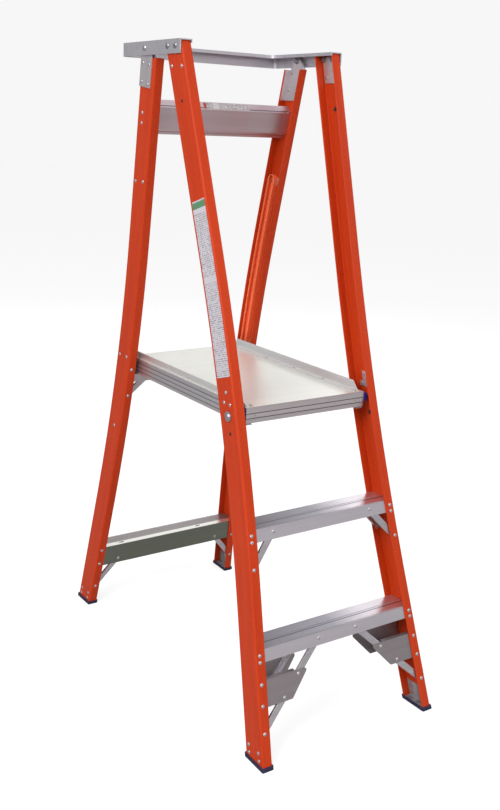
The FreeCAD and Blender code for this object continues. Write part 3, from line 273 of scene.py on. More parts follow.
@dataclass(frozen=True)
class Coat:
    """A material in the making: its tree and shader, coordinates along its grain and the shared groups."""

    tree: NodeTree
    shader: Node
    vector: Socket
    effects: EffectGroups

    def set(self, **values: Socket | float) -> None:
        """Set the shader's inputs, with _ for the spaces in their names."""
        for key, value in values.items():
            self.tree.put(self.shader, key.replace("_", " "), value)

    def use(self, group: bpy.types.NodeTree, **values: float) -> Node:
        """Place a shared group and set its inputs."""
        return self.tree.add("Group", {"Vector": self.vector, **values}, node_tree=group)

    def edges(self, radius: float = 0.0008) -> Node:
        """Place the group that softens hard edges."""
        return self.tree.add("Group", {"Radius": radius}, node_tree=self.effects.edges)

    def bump(self, height: Socket, strength: float, distance: float, normal: Socket) -> None:
        """Feed a height and a softened normal into the shader's normal."""
        given = {"Height": height, "Strength": strength, "Distance": distance, "Normal": normal}
        self.set(Normal=self.tree.add("Bump", given).outputs[0])


@dataclass(frozen=True)
class Finish:
    """One surface finish: what every finish shares."""

    name: str
    base: Colour
    roughness: float
    grain: Grain = Grain.ACROSS

    def build(self, effects: EffectGroups) -> bpy.types.Material:
        """Make the material.

        Args:
            effects: the shared shader groups.

        Returns:
            The finished material.
        """
        material = bpy.data.materials.new(self.name)
        material.use_nodes = True
        material.node_tree.nodes.clear()
        tree = NodeTree(material.node_tree)
        shader = tree.add("BsdfPrincipled")
        output = tree.add("OutputMaterial")
        tree.put(output, 0, shader.outputs[0])
        tree.put(shader, "Roughness", self.roughness)
        self.dress(Coat(tree, shader, self._vector(tree), effects))
        return material

    def _vector(self, tree: NodeTree) -> Socket:
        """Coordinates turned so that Z runs along the grain."""
        turned = {"Vector": tree.place(), "Rotation": self.grain.value}
        return tree.add("Mapping", turned).outputs[0]

    def roughen(self, tree: NodeTree, value: Socket, less: float, more: float) -> Socket:
        """Let the roughness follow a value, from a little less to a little more."""
        return tree.remap(value, 0.3, 0.7, self.roughness - less, self.roughness + more)

    def dress(self, coat: Coat) -> None:
        """Add this finish's own nodes."""
        raise NotImplementedError


@dataclass(frozen=True)
class Fibreglass(Finish):
    """Pultruded glass fibre in coloured resin: lengthwise fibres, pale veil and a satin skin."""

    pale: Colour = (0.8, 0.2, 0.1)
    dark: Colour = (0.4, 0.05, 0.02)
    fineness: float = 620.0
    veil: float = 0.30
    blotched: float = 0.24
    rubbed: float = 0.45
    clear_coat: float = 0.02

    def dress(self, coat: Coat) -> None:
        """Add fibres, blotches, rubbed edges and a thin clear coat.

        Args:
            coat: the material in the making.
        """
        tree, effects = coat.tree, coat.effects
        fibres = coat.use(effects.streaks, Fineness=self.fineness, Stretch=0.035)
        blotch = coat.use(effects.mottle, Scale=170.0)
        edges = coat.edges(0.0010)
        drift = tree.remap(fibres.outputs["Drift"], 0.35, 0.65, 0.0, 0.55)
        colour = tree.mix(drift, self.base, self.dark)
        pale = tree.remap(fibres.outputs["Lines"], 0.54, 0.76, 0.0, self.veil)
        colour = tree.mix(pale, colour, self.pale)
        colour = tree.mix(tree.times(blotch.outputs["Mask"], self.blotched), colour, self.pale)
        colour = tree.mix(tree.times(edges.outputs["Mask"], self.rubbed), colour, self.pale)
        coat.set(Base_Color=colour)
        coat.set(Roughness=self.roughen(tree, fibres.outputs["Lines"], 0.07, 0.09))
        coat.set(Specular_IOR_Level=0.20, Coat_Weight=self.clear_coat, Coat_Roughness=0.3)
        coat.bump(fibres.outputs["Lines"], 0.16, 0.0004, edges.outputs["Normal"])


@dataclass(frozen=True)
class Metal(Finish):
    """Extruded or rolled metal with fine drawn lines, handling marks and rubbed edges."""

    dull: Colour = (0.4, 0.4, 0.4)
    lines: float = 700.0
    contrast: float = 0.5
    metallic: float = 0.9
    edge_radius: float = 0.0008
    stained: float = 0.22
    rubbed: float = 0.6
    brightest: float = 1.25

    def over(self, tree: NodeTree, colour: Socket) -> Socket:
        """Change the colour in places; a plain metal leaves it alone."""
        return colour

    def dress(self, coat: Coat) -> None:
        """Add drawn lines, blotches and rubbed edges.

        Args:
            coat: the material in the making.
        """
        tree, effects = coat.tree, coat.effects
        drawn = coat.use(effects.streaks, Fineness=self.lines, Stretch=0.012)
        blotch = coat.use(effects.mottle, Scale=22.0)
        edges = coat.edges(self.edge_radius)
        drift = tree.remap(drawn.outputs["Drift"], 0.35, 0.65, 0.0, self.contrast)
        colour = tree.mix(drift, self.base, self.dull)
        stain = tree.times(blotch.outputs["Mask"], self.stained * self.contrast)
        colour = tree.mix(stain, colour, self.dull)
        bright = tuple(min(1.0, value * self.brightest) for value in self.base)
        colour = tree.mix(tree.times(edges.outputs["Mask"], self.rubbed), colour, bright)
        coat.set(Base_Color=self.over(tree, colour))
        rough = self.roughen(tree, drawn.outputs["Lines"], 0.03, 0.04)
        rough = tree.math("ADD", rough, tree.times(blotch.outputs["Mask"], 0.03))
        coat.set(Roughness=rough, Metallic=self.metallic)
        coat.bump(drawn.outputs["Lines"], 0.03, 0.0002, edges.outputs["Normal"])


@dataclass(frozen=True)
class Band:
    """A strip of another colour between two distances along an axis."""

    colour: Colour
    axis: Point3
    start: float
    stop: float
    soft: float = 0.0008
    only_top: bool = False
    facing_up: float = 0.8

    def mask(self, tree: NodeTree) -> Socket:
        """Where the strip shows, from 0 to 1.

        Args:
            tree: the material's tree.

        Returns:
            The mask.
        """
        along = tree.dot(tree.place(), self.axis)
        mask = tree.times(tree.remap(along, self.start - self.soft, self.start + self.soft, 0.0, 1.0),
                         tree.remap(along, self.stop - self.soft, self.stop + self.soft, 1.0, 0.0))
        if self.only_top:
            normal = tree.add("NewGeometry").outputs["Normal"]
            upward = tree.add("SeparateXYZ", {0: normal}).outputs[2]
            mask = tree.times(mask, tree.math("GREATER_THAN", upward, self.facing_up))
        return mask


@dataclass(frozen=True)
class BandedMetal(Metal):
    """Metal with strips of other colours laid over it, such as painted shade in grooves and painted
    highlights on ledges.
    """

    bands: tuple[Band, ...] = ()

    def over(self, tree: NodeTree, colour: Socket) -> Socket:
        """Lay each band over the metal's own colour.

        Args:
            tree: the material's tree.
            colour: the metal's own colour.

        Returns:
            The colour with its bands.
        """
        for band in self.bands:
            colour = tree.mix(band.mask(tree), colour, band.colour)
        return colour


@dataclass(frozen=True)
class Moulded(Finish):
    """Moulded plastic or rubber with a fine texture, dust and rubbed edges."""

    worn: Colour = (0.2, 0.2, 0.2)
    texture: float = 900.0
    dusty: float = 0.18
    rubbed: float = 0.4

    def dress(self, coat: Coat) -> None:
        """Add fine texture, dust and rubbed edges.

        Args:
            coat: the material in the making.
        """
        tree, effects = coat.tree, coat.effects
        dust = coat.use(effects.mottle, Scale=60.0)
        edges = coat.edges()
        colour = tree.mix(tree.times(dust.outputs["Mask"], self.dusty), self.base, self.worn)
        colour = tree.mix(tree.times(edges.outputs["Mask"], self.rubbed), colour, self.worn)
        coat.set(Base_Color=colour)
        grit = tree.add("TexNoise", {"Vector": coat.vector, "Scale": self.texture, "Detail": 2.0})
        coat.set(Roughness=self.roughen(tree, grit.outputs[0], 0.08, 0.08))
        coat.bump(grit.outputs[0], 0.25, 0.0003, edges.outputs["Normal"])


@dataclass(frozen=True)
class PrintedFilm(Finish):
    """A pale plastic film with rows of short plain bars in place of print, and a coloured band.

    The rows run across the long axis; band_from and band_to are distances along it.
    """

    ink: Colour = (0.1, 0.1, 0.1)
    band: Colour = (0.1, 0.3, 0.15)
    long_axis: Point3 = (0.0, 0.0, 1.0)
    cross_axis: Point3 = (0.0, 1.0, 0.0)
    band_from: float = 1.0
    band_to: float = 2.0
    row: float = 0.0052
    word: float = 0.010
    ink_share: float = 0.50
    rows_from: float = 0.55
    blocks_from: float = 0.36
    soiled: float = 0.15

    def dress(self, coat: Coat) -> None:
        """Add rows of bars, the coloured band and slight soiling.

        Args:
            coat: the material in the making.
        """
        tree, effects = coat.tree, coat.effects
        place = tree.place()
        along = tree.dot(place, self.long_axis)
        across = tree.dot(place, self.cross_axis)
        rows = tree.math("DIVIDE", along, self.row)
        number = tree.math("FLOOR", rows)
        inside = tree.math("GREATER_THAN", tree.math("FRACT", rows), self.rows_from)
        cell = tree.add("CombineXYZ", {0: tree.math("DIVIDE", across, self.word), 1: number})
        words = tree.add("TexNoise", {"Vector": cell.outputs[0], "Scale": 2.3, "Detail": 1.0})
        printed = tree.math("GREATER_THAN", words.outputs[0], 1.0 - self.ink_share)
        blocks = tree.add("TexNoise", {"W": tree.times(along, 21.0), "Scale": 1.0},
                          noise_dimensions="1D")
        filled = tree.math("GREATER_THAN", blocks.outputs[0], self.blocks_from)
        mask = tree.times(tree.times(inside, printed), filled)
        soil = coat.use(effects.mottle, Scale=30.0)
        soil_colour = tuple(value * 0.8 for value in self.base)
        ground = tree.mix(tree.times(soil.outputs["Mask"], self.soiled), self.base, soil_colour)
        colour = tree.mix(mask, ground, self.ink)
        above = tree.math("GREATER_THAN", along, self.band_from)
        below = tree.math("LESS_THAN", along, self.band_to)
        colour = tree.mix(tree.times(above, below), colour, self.band)
        coat.set(Base_Color=colour)
        grit = tree.add("TexNoise", {"Vector": coat.vector, "Scale": 700.0})
        coat.set(Roughness=self.roughen(tree, grit.outputs[0], 0.05, 0.05))
        edges = coat.edges(0.0004)
        coat.bump(mask, 0.05, 0.0001, edges.outputs["Normal"])


class Finishes:
    """All the ladder's materials, by name."""

    def __init__(self) -> None:
        """Build every material."""
        effects = EffectGroups()
        stile = dict(base=linear(188, 53, 10), pale=linear(200, 74, 31), dark=linear(172, 42, 6),
                     roughness=0.49)
        up_front = (0.0, math.sin(FRONT_LEAN), math.cos(FRONT_LEAN))
        into_front = (0.0, math.cos(FRONT_LEAN), -math.sin(FRONT_LEAN))
        across, back = (1.0, 0.0, 0.0), (0.0, 1.0, 0.0)
        up_rear = (0.0, -math.sin(REAR_LEAN), math.cos(REAR_LEAN))
        knee_top = self._reach("knee_rail", up_rear)
        knee_low = -self._reach("knee_rail", tuple(-value for value in up_rear))
        bar_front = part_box("rear_bar")[0][1]
        bar_ledge = bar_front + 0.0258
        # Places of the painted shade lines in the tread grooves.
        tread_grooves = [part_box(name)[0][1] + depth for name in ("upper_tread", "lower_tread")
                         for depth in TREAD_GROOVES]
        label_top = self._reach("instruction_label", up_front)
        deck_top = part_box("platform_deck")[1][2]
        sticker_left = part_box("knee_rail_sticker")[0][0]
        made = [
            Fibreglass("front stile fibreglass", grain=Grain.FRONT_STILE, **stile),
            Fibreglass("rear stile fibreglass", grain=Grain.REAR_STILE, **stile),
            Moulded("guide track plastic", linear(240, 108, 64), 0.34, Grain.REAR_STILE,
                    worn=linear(246, 150, 112)),
            Metal("guard rail", linear(208, 205, 212), 0.42, dull=linear(184, 180, 188), contrast=0.3),
            # Painted light and shade on the tread tops: upward faces are darker left of x = 0.06, leaving a
            # lighter right part as a painted reflection, and the dark lines at the grooves are painted
            # shade.
            BandedMetal("tread", linear(220, 214, 221), 0.30, dull=linear(200, 194, 201), contrast=0.2,
                        edge_radius=0.0003, bands=(
                            Band(linear(160, 157, 166), across, -1.0, 0.06, 0.06, True),
                            *(Band(linear(84, 84, 98), back, place - 0.0016, place + 0.0016, 0.0006, True)
                              for place in tread_grooves))),
            Metal("gusset", linear(160, 152, 155), 0.46, dull=linear(146, 138, 141), contrast=0.3),
            # Painted shade: two dark strips along the knee rail, at the bend below its top and above its
            # lower edge.
            BandedMetal("knee rail", linear(208, 192, 198), 0.40, dull=linear(188, 172, 178), contrast=0.3,
                        edge_radius=0.0004, bands=(
                            Band(linear(96, 88, 92), up_rear, knee_top - 0.0145, knee_top - 0.0125, 0.0005),
                            Band(linear(110, 102, 106), up_rear, knee_low + 0.0085, knee_low + 0.0100,
                                 0.0005))),
            # The front and side rails take painted shade lines in their grooves.
            BandedMetal("front rail", linear(214, 206, 209), 0.38, dull=linear(188, 179, 183), lines=420.0,
                        edge_radius=0.0004,
                        bands=self._grooves(linear(104, 95, 99), deck_top, FRONT_RAIL_GROOVES)),
            Metal("rear rail", linear(204, 196, 199), 0.40, dull=linear(172, 164, 168), lines=420.0),
            BandedMetal("side rail", linear(214, 211, 216), 0.34, Grain.ALONG, dull=linear(188, 184, 190),
                        lines=420.0, edge_radius=0.0004,
                        bands=self._grooves(linear(112, 109, 114), deck_top, SIDE_RAIL_GROOVES)),
            Metal("toe board", linear(238, 238, 237), 0.38, Grain.ALONG, dull=linear(214, 214, 216),
                  contrast=0.4),
            Metal("deck sheet", linear(238, 239, 232), 0.37, dull=linear(226, 228, 228), lines=500.0,
                  contrast=0.3, metallic=0.72),
            # Painted light and shade on the rear bar: its own colour is the dark grey-green of a shaded
            # face, the white band on the ledge's upward faces is a painted highlight, and the grey rear band
            # stands for its ribs, part lit and part in painted shade.
            BandedMetal("rear bar", linear(126, 130, 119), 0.34, dull=linear(114, 118, 108), contrast=0.3,
                        bands=(
                            Band(linear(250, 250, 244), back, bar_front - 0.01, bar_ledge, 0.0006, True),
                            Band(linear(178, 172, 173), back, bar_ledge, bar_front + 0.1, 0.0006))),
            Metal("brace", linear(208, 204, 210), 0.32, dull=linear(178, 174, 180)),
            Metal("plate", linear(218, 212, 216), 0.42, Grain.REAR_STILE, dull=linear(192, 186, 190),
                  contrast=0.3),
            Metal("foot bracket", linear(176, 171, 174), 0.50, Grain.FRONT_STILE, dull=linear(124, 120, 122),
                  contrast=0.9, metallic=0.55),
            Metal("rivet", linear(190, 184, 186), 0.36, dull=linear(156, 151, 154), contrast=0.3,
                  edge_radius=0.0004),
            Metal("zinc bolt", linear(176, 173, 177), 0.34, dull=linear(130, 128, 134), edge_radius=0.0005),
            Metal("guard bolt", linear(150, 147, 151), 0.42, dull=linear(112, 110, 116), edge_radius=0.0005),
            Moulded("navy rubber", linear(24, 21, 56), 0.66, worn=linear(52, 50, 84)),
            Moulded("blue bush", linear(50, 56, 158), 0.38, worn=linear(90, 98, 184)),
            Moulded("black plug", linear(20, 17, 17), 0.5, worn=linear(50, 46, 46)),
            PrintedFilm("printed label", linear(196, 192, 199), 0.42, ink=linear(124, 116, 122),
                        band=linear(84, 132, 96), long_axis=up_front, cross_axis=into_front,
                        band_from=label_top - 0.020, band_to=label_top - 0.004),
            PrintedFilm("warning sticker", linear(196, 190, 192), 0.40, ink=linear(92, 84, 88),
                        band=linear(170, 52, 40), long_axis=across, cross_axis=(0.0, 0.3, 1.0),
                        band_from=sticker_left, band_to=sticker_left + 0.008, row=0.0031, word=0.004,
                        rows_from=0.35),
        ]
        self.by_name = {finish.name: finish.build(effects) for finish in made}

    @staticmethod
    def _grooves(colour: Colour, top: float, drops: Sequence[float]) -> tuple[Band, ...]:
        """Painted shade lines in a rail's grooves, each at a distance below its top."""
        up = (0.0, 0.0, 1.0)
        return tuple(Band(colour, up, top - drop - 0.0016, top - drop + 0.0002, 0.0005) for drop in drops)

    @staticmethod
    def _reach(node: str, direction: Point3) -> float:
        """The furthest that a CAD piece reaches along a direction."""
        aim = Vector(direction)
        return max(vertex.co.dot(aim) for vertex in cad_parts[node].data.vertices)

    def __getitem__(self, name: str) -> bpy.types.Material:
        """The material of that name."""
        return self.by_name[name]


class Side(Enum):
    """The two sides of the ladder, as the sign of X."""

    LEFT = -1
    RIGHT = 1

    @property
    def word(self) -> str:
        """The side's name in lower case."""
        return self.name.lower()


@dataclass(frozen=True)
class LeaningFrame:
    """One leaning pair of stiles: d is the depth into a stile and s the distance up it."""

    floor_y: float
    lean: float
    waist: float
    bend_at: float
    flange: float
    depth: float = 0.0762
    wall: float = 0.0036
    low: float = math.radians(4.3)
    high: float = math.radians(1.8)
    tangent: float = 0.440

    def half_width(self, s: float) -> float:
        """The distance from the middle to the outside of a web.

        Args:
            s: the distance up the stile.

        Returns:
            The half-width at s.
        """
        radius = self.tangent / math.tan((self.low + self.high) / 2)
        start = self.bend_at - self.tangent * math.cos(self.low)
        end = self.bend_at + self.tangent * math.cos(self.high)
        centre_x = self.waist + self.tangent * math.sin(self.low) + radius * math.cos(self.low)
        centre_s = start + radius * math.sin(self.low)
        inside = min(max(s, start), end)
        width = centre_x - math.sqrt(radius ** 2 - (inside - centre_s) ** 2)
        return width + max(0.0, start - s) * math.tan(self.low) + max(0.0, s - end) * math.tan(self.high)

    def s_at(self, z: float, d: float = 0.0) -> float:
        """Distance up the stile of a point at height z and depth d."""
        return (z + d * math.sin(self.lean)) / math.cos(self.lean)

    def world(self, x: float, d: float, s: float) -> Vector:
        """A point given by its place across, into and up the stile, in the world."""
        return Vector((x, self.floor_y + d * math.cos(self.lean) + s * math.sin(self.lean),
                       s * math.cos(self.lean) - d * math.sin(self.lean)))

    def level(self, x_inset: float, d: float, z: float, side: Side) -> Vector:
        """A point at height z, inset from the outside of one side's web."""
        s = self.s_at(z, d)
        return self.world(side.value * (self.half_width(s) - x_inset), d, s)


FRONT = LeaningFrame(-0.5555, FRONT_LEAN, 0.2204, 0.857, 0.0286)
REAR = LeaningFrame(0.5555 - 0.0762 / math.cos(REAR_LEAN), -REAR_LEAN, 0.2176, 0.836, 0.0270)


@dataclass(frozen=True)
class Shell:
    """A closed mesh: its corners and the corner numbers of its faces."""

    points: list[Vector]
    faces: list[list[int]]

    @classmethod
    def stacked(cls, loops: Sequence[Sequence[Vector]], ring: bool = False) -> "Shell":
        """Join loops of equal length into a closed skin.

        Args:
            loops: the outlines, in order.
            ring: join the last loop to the first, instead of filling both ends.

        Returns:
            The shell.
        """
        count = len(loops[0])
        points = [point for loop in loops for point in loop]
        faces = []
        for level in range(len(loops) - 1):
            for i in range(count):
                j = (i + 1) % count
                low, high = level * count, (level + 1) * count
                faces.append([low + i, low + j, high + j, high + i])
        last = (len(loops) - 1) * count
        if ring:
            around = [[last + i, last + (i + 1) % count, (i + 1) % count, i] for i in range(count)]
            return cls(points, faces + around)
        return cls(points, faces + [list(range(count))[::-1], list(range(last, last + count))])

    @classmethod
    def turned(cls, centre: Vector, axis: Vector, profile: Sequence[Point2], ring: bool = False,
               sides: int = 40) -> "Shell":
        """Turn a profile round an axis.

        Args:
            centre: the point that distances along the axis start from.
            axis: the direction of the axis.
            profile: (distance along the axis, radius) pairs.
            ring: the profile closes on itself, so that a bore is left through the middle.
            sides: how many flats make up the circle.

        Returns:
            The shell.
        """
        axis = axis.normalized()
        first = axis.orthogonal().normalized()
        second = axis.cross(first)
        loops = []
        for along, radius in profile:
            angles = [math.tau * i / sides for i in range(sides)]
            loops.append([centre + axis * along + (first * math.cos(a) + second * math.sin(a)) * radius
                          for a in angles])
        return cls.stacked(loops, ring)


@dataclass
class SubAssembly:
    """One sub-assembly: it dresses its CAD pieces (PIECES, by finish) and builds its finer ones."""

    PIECES: ClassVar[Pieces] = {}

    finishes: Finishes
    body: str

    def nodes(self) -> Pieces:
        """The CAD pieces of this sub-assembly, by finish."""
        return self.PIECES

    def dress(self) -> int:
        """Give each CAD piece its finish.

        Returns:
            How many there are.
        """
        count = 0
        for finish, names in self.nodes().items():
            for name in names:
                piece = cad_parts[name]
                piece.data.materials.clear()
                piece.data.materials.append(self.finishes[finish])
                count += 1
                LOG.info("dressed %s: %s", name, finish)
        return count

    def build(self) -> int:
        """Build the finer pieces and return how many there are."""
        return 0

    def make(self, name: str, shell: Shell, finish: str, slot: str, *replaced: str) -> bpy.types.Object:
        """Make one piece with smooth shading that keeps its hard edges.

        Args:
            name: the piece's name.
            shell: its mesh.
            finish: the name of its finish.
            slot: the name of a material slot; it is not used.
            replaced: the CAD pieces that it stands in for.

        Returns:
            The new piece.
        """
        mesh = bpy.data.meshes.new(name)
        mesh.from_pydata([tuple(point) for point in shell.points], [], [tuple(face) for face in shell.faces])
        work = bmesh.new()
        work.from_mesh(mesh)
        bmesh.ops.recalc_face_normals(work, faces=work.faces)
        for edge in work.edges:
            edge.smooth = not edge.is_boundary and edge.calc_face_angle(0.0) < HARD_EDGE
        for face in work.faces:
            face.smooth = True
        work.to_mesh(mesh)
        work.free()
        mesh.materials.append(self.finishes[finish])
        piece = add_object(name, mesh)
        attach(piece, self.body)
        for node in replaced:
            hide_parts(node)
        LOG.info("built %s: %s", name, finish)
        return piece


def pair(*names: str) -> list[str]:
    """The left and right CAD pieces of each name."""
    return [f"{name}_{side.word}" for name in names for side in Side]


@dataclass
class FrontStiles(SubAssembly):
    """The two front stiles with their plates, label, pivots and hole plugs."""

    PIECES: ClassVar[Pieces] = {
        "front stile fibreglass": pair("front_stile"),
        "plate": pair("stile_top_plate", "pivot_bracket"),
        "rivet": ["front_web_rivets"],
        "zinc bolt": ["hinge_pins", "hinge_spacers", "platform_pivot_bolts", "platform_pivot_nuts"],
        "black plug": ["hole_plugs"],
        "printed label": ["instruction_label"],
    }
    plug_radius: float = 0.0062
    plug_height: float = 0.0022
    plug_places: tuple[Point2, ...] = ((1.604, 0.038), (0.798, 0.035))

    def build(self) -> int:
        """Build the plugs' rounded inner heads.

        Returns:
            How many there are.
        """
        for side in Side:
            for number, (z, depth) in enumerate(self.plug_places, 1):
                seat = FRONT.level(FRONT.wall, depth, z, side)
                inward = Vector((-side.value, 0.0, 0.0))
                name = f"plug_inner_head_{number}_{side.word}"
                self.make(name, Shell.turned(seat, inward, self._dome()), "black plug", "black_plastic")
        return 2 * len(self.plug_places)

    def _dome(self) -> list[Point2]:
        """The section of one plug's inner head.

        Returns:
            (Height, radius) pairs.
        """
        radius, height = self.plug_radius, self.plug_height
        arc = [math.radians(15 * step) for step in range(6)]
        rounded = [(height * (0.2 + 0.8 * math.sin(a)), radius * math.cos(a)) for a in arc]
        return [(0.0, radius * 0.92)] + rounded


@dataclass
class GuardRail(SubAssembly):
    """The rail round the top and the bolts that hold it."""

    PIECES: ClassVar[Pieces] = {
        "guard rail": ["guard_rail"],
        "guard bolt": ["guard_rail_bolts", "guard_rail_nuts"],
    }


@dataclass
class Treads(SubAssembly):
    """The two treads with their braces, gusset plates and rivets."""

    PIECES: ClassVar[Pieces] = {
        "tread": ["upper_tread", "lower_tread"],
        "brace": pair("upper_tread_braces", "lower_tread_braces"),
        "gusset": pair("gusset_plates"),
        "rivet": ["tread_rivets"],
    }


@dataclass
class Platform(SubAssembly):
    """The swinging platform: deck, rails, toe boards, corner caps and pivot bushes."""

    PIECES: ClassVar[Pieces] = {
        "front rail": ["platform_front_rail"],
        "rear rail": ["platform_rear_rail"],
        "side rail": pair("platform_side_rail"),
        "toe board": pair("toe_board"),
        "deck sheet": ["platform_deck"],
        "rivet": ["platform_rivets"],
        "zinc bolt": ["platform_guide_pins"],
        "blue bush": pair("platform_bush"),
    }
    cap_wall: float = 0.0009
    cap_front_leg: float = 0.009
    cap_side_leg: float = 0.0036
    cap_corner: float = 0.0016
    cap_steps: int = 4
    bush_hub: float = 0.0118
    bush_flange: float = 0.0045
    bush_bore: float = 0.0062

    def build(self) -> int:
        """Build the corner caps and bushes.

        Returns:
            How many there are.
        """
        for side in Side:
            self.make(f"corner_cap_{side.word}", self._cap(side), "front rail", "rail_aluminium")
            self.make(f"pivot_bush_{side.word}", self._bush(side), "blue bush", "blue_plastic",
                      f"platform_bush_{side.word}")
        return 2 * len(Side)

    def _bush(self, side: Side) -> Shell:
        """A flanged bush, bored for the pivot bolt, that tapers to a rounded nose at the stile.

        Args:
            side: the side that it is on.

        Returns:
            The shell.
        """
        low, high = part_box(f"platform_bush_{side.word}")
        length, radius = high[0] - low[0], (high[2] - low[2]) / 2
        inner = high[0] if side is Side.LEFT else low[0]
        centre = Vector((inner, (low[1] + high[1]) / 2, (low[2] + high[2]) / 2))
        hub, lip = self.bush_hub, self.bush_flange
        flange = [(0.0, radius - 0.0006), (0.0006, radius), (lip - 0.0008, radius), (lip, radius - 0.0008)]
        taper = [(lip + 0.0015, radius - 0.0020), (length * 0.45, hub + 0.0036),
                 (length * 0.70, hub + 0.0018), (length * 0.88, hub + 0.0004)]
        nose = [(length - 0.0009, hub - 0.0008), (length, hub - 0.0022)]
        bore = [(length, self.bush_bore), (0.0, self.bush_bore)]
        profile = flange + taper + nose + bore
        return Shell.turned(centre, Vector((side.value, 0.0, 0.0)), profile, ring=True)

    def _cap(self, side: Side) -> Shell:
        """A folded cap over one front corner.

        Args:
            side: the side that it is on.

        Returns:
            The shell.
        """
        (left, front, low), (right, _, high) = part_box("platform_front_rail")
        profile = self._cap_section(right if side is Side.RIGHT else left, front, side)
        points = [Vector((x, y, z)) for z in (low, high) for x, y in profile]
        count = len(profile)
        faces = [[i, (i + 1) % count, count + (i + 1) % count, count + i] for i in range(count)]
        for base in (0, count):
            for i in range(count // 2 - 1):
                faces.append([base + i, base + i + 1, base + count - 2 - i, base + count - 1 - i])
        return Shell(points, faces)

    def _cap_section(self, edge: float, front: float, side: Side) -> list[Point2]:
        """The cap's section from above: outside line, then the inside line back.

        Args:
            edge: the X of the rail's end.
            front: the Y of its front.
            side: the side that it is on.

        Returns:
            The section's corners.
        """
        sign, wall, reach = side.value, self.cap_wall, self.cap_corner
        outside = [(edge - sign * self.cap_front_leg, front - wall)]
        inside = [(edge - sign * self.cap_front_leg, front)]
        centre = (edge + sign * (wall - reach), front - wall + reach)
        tight = reach - wall
        for step in range(self.cap_steps + 1):
            angle = math.radians(90 * step / self.cap_steps)
            outside.append((centre[0] + sign * reach * math.sin(angle), centre[1] - reach * math.cos(angle)))
            inside.append((centre[0] + sign * tight * math.sin(angle), centre[1] - tight * math.cos(angle)))
        outside.append((edge + sign * wall, front + self.cap_side_leg))
        inside.append((edge, front + self.cap_side_leg))
        return outside + inside[::-1]


@dataclass
class RearStiles(SubAssembly):
    """The two rear stiles with their hinge plates and beaded guide tracks."""

    PIECES: ClassVar[Pieces] = {
        "rear stile fibreglass": pair("rear_stile"),
        "guide track plastic": pair("guide_track"),
        "plate": pair("hinge_plate", "hinge_liner") + ["track_clips"],
        "rivet": ["rear_frame_rivets", "hinge_rivets"],
    }
    bead_low_z: float = 0.846
    bead_high_z: float = 1.385
    bead_proud: float = 0.0177
    bead_radius: float = 0.0016
    bead_inset: float = 0.0052
    track_width: float = 0.034
    track_margin: float = 0.0017
    bead_steps: int = 60
    bead_arc: int = 8
    bead_taper: float = 0.004

    def build(self) -> int:
        """Build a pair of beads along each track.

        Returns:
            How many there are.
        """
        far = REAR.depth - REAR.wall - self.track_margin
        places = {"front": far - self.track_width + self.bead_inset, "rear": far - self.bead_inset}
        for side in Side:
            for word, depth in places.items():
                self.make(f"track_bead_{word}_{side.word}", self._bead(side, depth), "guide track plastic",
                          "orange_track")
        return 2 * len(places)

    def _bead(self, side: Side, depth: float) -> Shell:
        """One bead as a swept half circle with tapered ends.

        Args:
            side: the side that it is on.
            depth: its depth into the stile.

        Returns:
            The shell.
        """
        loops = []
        start, end = REAR.s_at(self.bead_low_z), REAR.s_at(self.bead_high_z)
        for step in range(self.bead_steps + 1):
            share = step / self.bead_steps
            s = start + (end - start) * share
            ends = min(share, 1 - share) * (end - start)
            radius = self.bead_radius * math.sqrt(min(1.0, max(0.02, ends / self.bead_taper)))
            loop = []
            for i in range(self.bead_arc + 1):
                angle = math.pi * i / self.bead_arc
                x = side.value * (REAR.half_width(s) - self.bead_proud - radius * math.sin(angle))
                loop.append(REAR.world(x, depth + radius * math.cos(angle), s))
            loops.append(loop)
        return Shell.stacked(loops)


@dataclass
class RearBars(SubAssembly):
    """The bars that join the rear stiles: knee rail, rest bar and rear bar."""

    PIECES: ClassVar[Pieces] = {
        "knee rail": ["knee_rail"],
        "warning sticker": ["knee_rail_sticker"],
        "rear rail": ["platform_rest_bar"],
        "rear bar": ["rear_bar"],
        "brace": ["rear_bar_braces", "rest_bar_braces"],
    }


